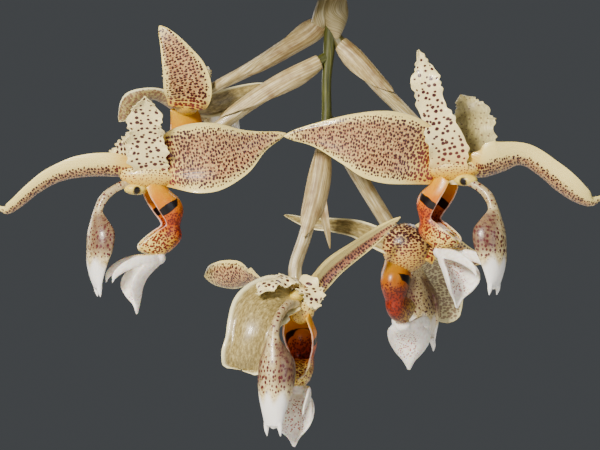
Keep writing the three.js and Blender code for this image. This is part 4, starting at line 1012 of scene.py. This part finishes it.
def fleshy_column():
    """Fleshy tissue: satin cream with maroon spots, and clear white at the end."""
    made, tree = material("fleshy_spotted_column")
    white, brown, dots, _ = attribute(tree, "tint")
    _, _, _, skin = attribute(tree, "skin")
    cells = scaled(tree, skin, 0.42, 0.62, 1)
    near, own = scatter(tree, cells, 0.85)
    size = calc(tree, "MULTIPLY_ADD", own, 0.24, 0.14)
    size = calc(tree, "MULTIPLY", dots, size)
    mark = calc(tree, "SUBTRACT", size, near)
    mark = span(tree, mark, -0.03, 0.05, smooth=True)
    cloud = fractal(tree, skin, 0.6, 4)
    base = ramp(tree, cloud, (0.3, "#ac9458"), (0.6, "#e8daa6"))
    wing = span(tree, cloud, 0.3, 0.65, 0.65, 1)
    wing = calc(tree, "MULTIPLY", wing, brown)
    base = mix(tree, wing, base, "#5a382f")
    base = mix(tree, mark, base, "#541c20")
    base = mix(tree, white, base, "#f8f8f3")
    surface(
        tree, 0.1, cloud, Base_Color=base, Roughness=0.34, Subsurface_Weight=0.15,
        Subsurface_Radius=(1, 0.85, 0.6), Subsurface_Scale=0.0015, Coat_Weight=0.15,
    )
    return made


column_flesh = fleshy_column()
for number, (name, flower) in enumerate(FLOWERS.items()):
    axes = flower_axes(flower["column_yaw"], flower["tilt"])
    root = spot([flower.get("arch", flower["lip"])])[0]
    grow = np.array(flower.get("grow", [1, 1, 1]))
    at = lambda points: (np.asarray(points, float) * grow * flip) @ axes + root
    form = [COLUMN[key] for key in ("keel", "rim", "wide", "thick")]
    arch, body = hull(*form, 80, 30, 1, 1.75)
    rim = 0.3 + 0.7 * (1 - np.linspace(-1, 1, 31) ** 2)
    length = np.linspace(0, COLUMN["length"], 81)[:, None]
    across = np.cumsum(np.linalg.norm(np.diff(arch, axis=1, prepend=arch[:, :1]), axis=2), axis=1)
    flat = np.stack(np.broadcast_arrays(length, across - across[:, 15:16], 0 * length), -1)
    skin = skins(at(arch), body * rim, flat, number + 21, column_tint)
    end = lambda t: np.broadcast_to([1.0, 0, 0], (len(t), 3))
    teeth = [
        tube(
            at(np.array(COLUMN["tooth"]) * [1, hand, 1]), COLUMN["tooth_radius"], 10, 14, axes[1],
            tint=end,
        )
        for hand in (-1, 1)
    ]
    place, half = COLUMN["cap"]
    cap = egg(at([place])[0], half, axes, 12, 18, (1, 0, 0))
    parts = [skin, *teeth, cap]
    piece(f"{name}_column_flesh", parts, column_flesh, "column", f"{name}_flower_column")

# The growths: ribbed green pseudobulbs, firm and satin, each with one leaf on a slim stalk. The
# leaf is pleated along its veins, leathery, glossier above than below, and arches out and over.
MEDIUM = {"half": 69.5, "top": -309, "mound": 7, "bottom": -339.65}
# Its place in the basket, the way its leaf goes, its bulb's size, how far its leaf reaches out and
# rises, and its leaf's length.
GROWTHS = {
    "right": ((38, -6), -6, 1, 165, 150, 1),
    "left": ((-38, 4), 184, 1.05, 170, 165, 1),
    "back": ((6, 38), 82, 0.95, 140, 170, 1),
    "front": ((-8, -38), 262, 0.9, 130, 120, 1),
    "young": ((0, 0), 0, 0.75, 40, 120, 0.65),
}
BULB = {"height": 46, "radius": 16, "sunk": 8, "ribs": 8, "rib": 0.09, "sheaths": 3}
BULB_OUTLINE = [0.62, 0.95, 0.98, 0.78, 0.5, 0.24]


def leathery_leaf():
    """Leaf: chlorophyll green, with pale sunken veins, a satin cuticle and a duller underside."""
    made, tree = material("leathery_pleated_leaf")
    bulb, dry, young, _ = attribute(tree, "tint")
    _, _, side, skin = attribute(tree, "skin")
    lines = scaled(tree, skin, 0.006, 0.55, 1)
    veins = fractal(tree, lines, 1.0, 6, 0.7)
    cloud = fractal(tree, skin, 0.03, 5)
    above = ramp(tree, veins, (0.3, "#2c4a1c"), (0.5, "#44692a"), (0.7, "#6c8f40"))
    shade = span(tree, cloud, 0.35, 0.7, 0, 0.5)
    above = mix(tree, shade, above, "#5c7d33")
    below = mix(tree, 0.55, above, "#8aa063")
    shown = span(tree, side, -0.6, 0.6)
    leaf = mix(tree, shown, below, above)
    firm = ramp(tree, cloud, (0.3, "#4d5f2a"), (0.55, "#73823d"), (0.75, "#98994f"))
    colour = mix(tree, bulb, leaf, firm)
    colour = mix(tree, young, colour, "#9aae4e")
    brown = fractal(tree, skin, 0.25, 4)
    brown = mix(tree, brown, "#6b4c2b", "#b39a6a")
    colour = mix(tree, dry, colour, brown)
    gloss = span(tree, dry, 0, 1, 0.36, 0.8)
    surface(
        tree, 0.35, veins, Base_Color=colour, Roughness=gloss, Subsurface_Weight=0.05,
        Subsurface_Scale=0.001, Coat_Weight=0.1,
    )
    return made


def bulb_part(foot, size):
    """A ribbed pseudobulb, turned from its outline; tint marks it as bulb, dry at its foot."""
    rings, sides = 44, 112
    round_it = 2 * np.pi * np.arange(sides) / sides
    s, turn = np.meshgrid(np.linspace(0, 1, rings + 1), round_it, indexing="ij")
    ridge = 1 + BULB["rib"] * (1 - 2 * np.abs(np.sin(BULB["ribs"] / 2 * turn)) ** 1.4)
    radius = BULB["radius"] * size * along(BULB_OUTLINE, s) * ridge
    z = MEDIUM["top"] - BULB["sunk"] + s * BULB["height"] * size
    points = np.stack([foot[0] + radius * np.cos(turn), foot[1] + radius * np.sin(turn), z], -1)
    faces = [face[::-1] for face in closed_faces(rings, sides)]
    skin = np.stack([s * BULB["height"] * size, turn * 16, 1 + 0 * s], -1)
    dry = 0.8 * (1 - fade(s, 0.2, 0.34)) + 0.5 * fade(s, 0.95, 1)
    tint = np.stack([1 + 0 * s, dry, 0 * s], -1)
    return points.reshape(-1, 3), faces, skin.reshape(-1, 3), tint.reshape(-1, 3)


leaf_skin = leathery_leaf()
up = np.array([0.0, 0.0, 1.0])
for name, (foot, turn, size, reach, rise, length) in GROWTHS.items():
    outward = np.array([math.cos(math.radians(turn)), math.sin(math.radians(turn)), 0])
    neck = np.array([*foot, MEDIUM["top"] - BULB["sunk"] + BULB["height"] * size - 3])
    spring = lambda out, high: neck + out * outward + high * up
    youth = 0.5 if name == "young" else 0.0
    stem = [spring(0, 0), spring(4, 22 * length), spring(12, 46 * length)]
    stalk = tube(
        stem, [4.2, 3.4, 3.2], 30, 24, outward,
        tint=lambda t: np.stack([0.4 * (1 - t), 0.3 * (1 - fade(t, 0, 0.15)), youth + 0 * t], 1),
    )
    arc = (0.2, 0.55), (0.42, 0.82), (0.68, 1), (0.92, 0.98), (1.12, 0.8)
    mid = [spring(11, 42 * length), *[spring(out * reach, high * rise) for out, high in arc]]
    leaf = blade(
        mid, [0.3 * up - outward, 1.2 * up - outward, up, outward],
        [5, 22 * length, 38 * length, 42 * length, 30 * length, 2], [60, 30, 20, 15, 15, 10],
        (1.6, 0.9, 0.9, 0.8, 0.7, 0.7), rim=0.6, long=96, wide=72, pleats=3, pleat=1.1, wave=1.2,
        waves=2.5, blunt=0.05, seed=len(name) + 0.3,
        tint=lambda t, u, inside: np.stack(
            np.broadcast_arrays(0 * t, 0.6 * fade(t, 0.985, 1), youth), -1),
    )
    sheaths = []
    for i in range(BULB["sheaths"]):
        a = math.radians(120 * i + 40 + turn)
        aim = np.array([math.cos(a), math.sin(a), 0])
        low, r = MEDIUM["top"] - BULB["sunk"] + 4, BULB["radius"] * size
        tall = (26 + 8 * i) * size
        ribs = [
            np.array([*foot, low + tall * part]) + aim * r * out
            for part, out in ((0, 0.92), (0.35, 1.12), (0.7, 1.0), (1, 0.86))
        ]
        sheaths.append(blade(
            ribs, [-aim, -aim], [r * 0.9, r, r * 0.7, 1.5], [52, 56, 50, 10], (0.5, 0.4), rim=0.8,
            long=24, wide=20, wave=0.6, waves=2, fringe=0.3, seed=i,
            tint=lambda t, u, inside: np.stack(np.broadcast_arrays(0 * t, 1 + 0 * u, 0), -1),
        ))
    parts = [bulb_part(foot, size), stalk, leaf, *sheaths]
    piece(f"growth_{name}_skin", parts, leaf_skin, "leaf", f"growth_{name}")

# The filling: chips of fir bark packed with living moss, mounded round the bulbs. The bark is
# matt and cracked, and the moss a mat of fine, springy, yellow-green strands.


def bark_and_moss():
    """Bark and moss: very rough, dark where it is wet, with every strand a little different."""
    made, tree = material("moist_bark_and_moss")
    moss, dry, lot, _ = attribute(tree, "tint")
    _, _, _, skin = attribute(tree, "skin")
    grain = fractal(tree, skin, 0.35, 7, 0.7)
    bark = ramp(tree, grain, (0.3, "#2b1a10"), (0.52, "#5a3a24"), (0.72, "#8a6644"))
    green = ramp(tree, lot, (0.0, "#4f5a22"), (0.5, "#84883c"), (1.0, "#b9b070"))
    colour = mix(tree, moss, bark, green)
    dark = span(tree, grain, 0.3, 0.6, 0.5, 0)
    colour = mix(tree, dark, colour, "#1d150c")
    surface(tree, 0.8, grain, Base_Color=colour, Roughness=0.88)
    return made


def on_medium(x, y):
    """The top of the filling, at places from -1 to 1 across it."""
    return MEDIUM["top"] + MEDIUM["mound"] * (math.cos(x * 1.4) * math.cos(y * 1.4))


def taken(shape):
    """The points and faces of a bmesh, which is let go."""
    shape.verts.index_update()
    points = np.array([v.co[:] for v in shape.verts])
    faces = [[v.index for v in f.verts] for f in shape.faces]
    shape.free()
    return points, faces


draw = random.Random(7)
half, low = MEDIUM["half"], MEDIUM["bottom"]
shape = bmesh.new()
bmesh.ops.create_cube(shape, size=2)
bmesh.ops.subdivide_edges(shape, edges=shape.edges[:], cuts=52, use_grid_fill=True)
for vertex in shape.verts:
    x, y, z = vertex.co
    place = Vector((x * half, y * half, low + (z + 1) / 2 * (on_medium(x, y) - low)))
    bump = noise.fractal(place * 0.11, 0.8, 2.1, 4)
    inward = Vector(c if abs(c) > 0.99 else 0 for c in (x, y, z))
    vertex.co = place + inward.normalized() * (bump * 3.2 - 1.6)
points, faces = taken(shape)
mossy = np.array([0.5 + 0.5 * noise.noise(Vector(p) * 0.07) for p in points])
parts = [(points, faces, points.copy(), np.stack([fade(mossy, 0.35, 0.6), 0 * mossy, mossy], 1))]


def clear_of_bulbs(x, y, room):
    return all(
        math.hypot(x - foot[0], y - foot[1]) > BULB["radius"] * size + room
        for foot, _, size, *_ in GROWTHS.values()
    )


CORNERS = [(a, b, c) for a in (-1, 1) for b in (-1, 1) for c in (-1, 1)]
CHIP_FACES = [[0, 1, 3, 2], [4, 6, 7, 5], [0, 4, 5, 1], [2, 3, 7, 6], [0, 2, 6, 4], [1, 5, 7, 3]]
CHIPS, STRANDS = 240, 1500
for _ in range(CHIPS):
    x, y = draw.uniform(-half + 8, half - 8), draw.uniform(-half + 8, half - 8)
    if not clear_of_bulbs(x, y, 4):
        continue
    size = Vector((draw.uniform(4, 10), draw.uniform(3, 6), draw.uniform(1.5, 3)))
    turn = Matrix.Rotation(draw.uniform(0, 6.3), 3, "Z")
    turn = turn @ Matrix.Rotation(draw.uniform(-0.4, 0.4), 3, "X")
    middle = Vector((x, y, on_medium(x / half, y / half) + draw.uniform(-0.5, 1.5)))
    chip = bmesh.new()
    for corner in CORNERS:
        jitter = Vector(c * s * draw.uniform(0.75, 1.1) for c, s in zip(corner, size))
        chip.verts.new(turn @ jitter + middle)
    chip.verts.ensure_lookup_table()
    for face in CHIP_FACES:
        chip.faces.new([chip.verts[i] for i in face])
    bmesh.ops.recalc_face_normals(chip, faces=chip.faces[:])
    bmesh.ops.bevel(chip, geom=chip.edges[:], offset=0.7, segments=2, profile=0.6, affect="EDGES")
    points, faces = taken(chip)
    parts.append((points, faces, points.copy(), np.broadcast_to([0.0, 0, 0.5], points.shape)))
for _ in range(STRANDS):
    side = draw.random() < 0.45
    if side:
        a, z = draw.uniform(-half, half), draw.uniform(low + 2, MEDIUM["top"])
        hand, axis = draw.choice((-1, 1)), draw.choice((0, 1))
        start = np.array([hand * (half - 1.5), a, z] if axis == 0 else [a, hand * (half - 1.5), z])
        aim = np.array([hand, 0, 0.2] if axis == 0 else [0, hand, 0.2]) * 0.5
    else:
        x, y = draw.uniform(-half, half), draw.uniform(-half, half)
        if not clear_of_bulbs(x, y, 0):
            continue
        start = np.array([x, y, on_medium(x / half, y / half) - 1])
        aim = np.array([0, 0, 1.0])
    steps = [start]
    heading = aim + [draw.uniform(-0.8, 0.8), draw.uniform(-0.8, 0.8), draw.uniform(-0.2, 0.5)]
    for k in range(4):
        push = [draw.uniform(-0.5, 0.5), draw.uniform(-0.5, 0.5), draw.uniform(-0.5, 0.2)]
        heading = heading + push
        steps.append(steps[-1] + unit(heading) * draw.uniform(1.2, 2.4))
    colour = draw.random()
    parts.append(tube(
        steps, [0.7, 0.6, 0.5, 0.45, 0.15], 7, 4, (0.3, 0.5, 0.8),
        tint=lambda t, c=colour: np.stack([1 + 0 * t, 0 * t, 0.4 * c + 0.6 * t], 1),
    ))
piece("bark_and_moss_filling", parts, bark_and_moss(), "medium", "bark_and_moss")

# The basket: square rods of oiled hardwood laid crosswise, log-cabin fashion, with four floor
# slats. Sawn and eased at the edges, and silvered and stained by years of watering.
ROD, ROD_LENGTH, ROD_INSET, COURSES, BASKET_BOTTOM = 16, 188, 78, 4, -364
SLAT = {"width": 14, "height": 8, "places": (-50, -18, 18, 50)}
EASE, SAWN, SEAM = 1.1, 0.28, 0.3


def oiled_hardwood():
    """Weathered teak: a brown ribbon of grain along the rod, grey on top, open-pored and matt."""
    made, tree = material("weathered_oiled_teak")
    _, _, worn, _ = attribute(tree, "tint")
    _, _, _, skin = attribute(tree, "skin")
    lengthwise = scaled(tree, skin, 0.012, 0.24, 0.24)
    ring = add(tree, "TexNoise", {0: lengthwise, "Scale": 1.3, "Detail": 5, "Distortion": 0.6})
    fine = scaled(tree, skin, 0.05, 1.6, 1.6)
    pores = fractal(tree, fine, 1.0, 5, 0.75)
    browns = (0.28, "#4f3019"), (0.45, "#7d5230"), (0.58, "#99693f"), (0.75, "#b78a59")
    wood = ramp(tree, ring, *browns)
    wood = add(tree, "MixRGB", {0: 0.55, 1: wood, 2: pores}, blend_type="OVERLAY")
    stain = fractal(tree, skin, 0.03, 4)
    grey = span(tree, stain, 0.42, 0.68)
    grey = calc(tree, "MULTIPLY", grey, worn)
    wood = mix(tree, grey, wood, "#8c8272")
    damp = span(tree, stain, 0.5, 0.3, 0, 0.6)
    wood = mix(tree, damp, wood, "#3c2918")
    surface(tree, 0.35, pores, Base_Color=wood, Roughness=0.72)
    return made


def bar(size, centre, axis, seed):
    """An eased, slightly uneven sawn bar, lying along axis 0 or 1; its skin runs along the grain."""
    shape = bmesh.new()
    bmesh.ops.create_cube(shape, size=1)
    for vertex in shape.verts:
        vertex.co = Vector(c * s for c, s in zip(vertex.co, size))
    bmesh.ops.bevel(shape, geom=shape.edges[:], offset=EASE, segments=3, profile=0.5, affect="EDGES")
    for cut in np.arange(-size[axis] / 2 + 6, size[axis] / 2 - 5, 6):
        where, way = [0, 0, 0], [0, 0, 0]
        where[axis], way[axis] = cut, 1
        everything = shape.verts[:] + shape.edges[:] + shape.faces[:]
        bmesh.ops.bisect_plane(shape, geom=everything, plane_co=where, plane_no=way)
    shifts = Vector((0, 0, 0)), Vector((9, 0, 0)), Vector((0, 9, 0))
    for vertex in shape.verts:
        p = vertex.co + Vector((seed * 31, seed * 17, seed * 7))
        vertex.co += SAWN * Vector(noise.noise(p * 0.06 + shift) for shift in shifts)
    points, faces = taken(shape)
    skin = points if axis == 0 else points[:, [1, 0, 2]]
    top = fade(points[:, 2] / size[2], -0.2, 0.5)
    tint = np.stack([0 * top, 0 * top, 0.35 + 0.65 * top], 1)
    return points + centre, faces, skin + [seed * 211, seed * 43, seed * 29], tint


teak = oiled_hardwood()
for course in range(COURSES):
    for label, hand in (("low", -1), ("high", 1)):
        z = BASKET_BOTTOM + ROD * (course + 0.5)
        lengthwise = course % 2 == 0
        size = (ROD_LENGTH, ROD, ROD - SEAM) if lengthwise else (ROD, ROD_LENGTH, ROD - SEAM)
        centre = (0, hand * ROD_INSET, z) if lengthwise else (hand * ROD_INSET, 0, z)
        rod = bar(size, centre, 0 if lengthwise else 1, course * 2 + (hand > 0) + 1)
        title = f"rod_course_{course + 1}_{label}"
        piece(f"{title}_teak", [rod], teak, "wood", title)
for i, x in enumerate(SLAT["places"]):
    z = BASKET_BOTTOM + ROD + SLAT["height"] / 2
    slat = bar((SLAT["width"], 2 * ROD_INSET + ROD, SLAT["height"] - SEAM), (x, 0, z), 1, i + 12)
    piece(f"floor_slat_{i + 1}_teak", [slat], teak, "wood", f"floor_slat_{i + 1}")

# The hanger: four galvanised wires up through the corners of the rods, bent under the lowest, and
# gathered in a turned collar with one hook. Zinc gives them a dull, faintly spangled grey.
WIRE, HOOK_WIRE, CROOK = 1.2, 2.0, 14.0
COLLAR = {"bottom": -48, "socket": 3.2, "depth": 10}


def galvanised_steel():
    """Hot-dip galvanised steel: a metal, dulled, with soft patches of its zinc crystals."""
    made, tree = material("galvanised_steel")
    _, _, _, skin = attribute(tree, "skin")
    spangle = add(tree, "TexVoronoi", {0: skin, "Scale": 0.35})
    tone = add(tree, "SeparateColor", {0: spangle.node.outputs["Color"]})
    colour = ramp(tree, tone, (0.0, "#8f9294"), (1.0, "#b9bcbe"))
    scuff = fractal(tree, skin, 0.8, 5)
    rough = span(tree, scuff, 0, 1, 0.3, 0.55)
    surface(tree, 0.05, scuff, Base_Color=colour, Metallic=1.0, Roughness=rough)
    return made


def straight(points):
    """Adds points near each bend, so that the smooth curve keeps its straight stretches."""
    points = [np.asarray(p, float) for p in points]
    kept = [points[0]]
    for a, b in zip(points, points[1:]):
        kept += [a + (b - a) * f for f in (0.25, 0.5, 0.75)] + [b]
    return kept


zinc = galvanised_steel()
for label_x, hand_x in (("left", -1), ("right", 1)):
    for label_y, hand_y in (("front", -1), ("back", 1)):
        under = BASKET_BOTTOM - WIRE - 0.35
        socket, top = COLLAR["socket"], BASKET_BOTTOM + COURSES * ROD
        neck = COLLAR["bottom"]
        places = [
            (ROD_INSET - 12, under), (ROD_INSET - 2, under), (ROD_INSET, under + 2),
            (ROD_INSET, top + 3), (ROD_INSET - 3, top + 10), (socket + 3, neck - 12),
            (socket, neck - 5), (socket, neck + COLLAR["depth"] - 1),
        ]
        route = [
            (hand_x * out, hand_y * (ROD_INSET if i < 2 else out), z)
            for i, (out, z) in enumerate(places)
        ]
        wire = tube(straight(route), [WIRE] * 4, 180, 14, (hand_x, -hand_y, 0.01))
        piece(f"wire_{label_x}_{label_y}_zinc", [wire], zinc, "wire", f"wire_{label_x}_{label_y}")
bend = [math.radians(195 - i * 21) for i in range(11)]
crook = [(CROOK * math.cos(a), 0, HOOK_WIRE - CROOK + CROOK * math.sin(a)) for a in bend]
shank = [(9, 0, -23.5), (4, 0, -27.5), (1, 0, -31), (0, 0, -36)]
hook = tube(crook + shank, [HOOK_WIRE] * 4, 120, 20)
outline = [
    (0.0, -32.0), (5.2, -32.0), (5.9, -32.7), (6.1, -35.0), (5.7, -36.0), (6.2, -37.0), (7.2, -46.0),
    (7.5, -47.0), (7.2, -47.9), (6.6, -48.0), (0.0, -48.0),
]
turn = 2 * np.pi * np.arange(48) / 48
radius, height = np.array(outline).T
radius = np.maximum(radius, 0.05)
points = np.stack([
    radius[:, None] * np.cos(turn), radius[:, None] * np.sin(turn), np.repeat(height[:, None], 48, 1),
], -1).reshape(-1, 3)
collar = (points, closed_faces(len(outline) - 1, 48), points.copy(), np.zeros_like(points))
piece("hanger_hook_zinc", [hook, collar], zinc, "wire", "hanger_hook")
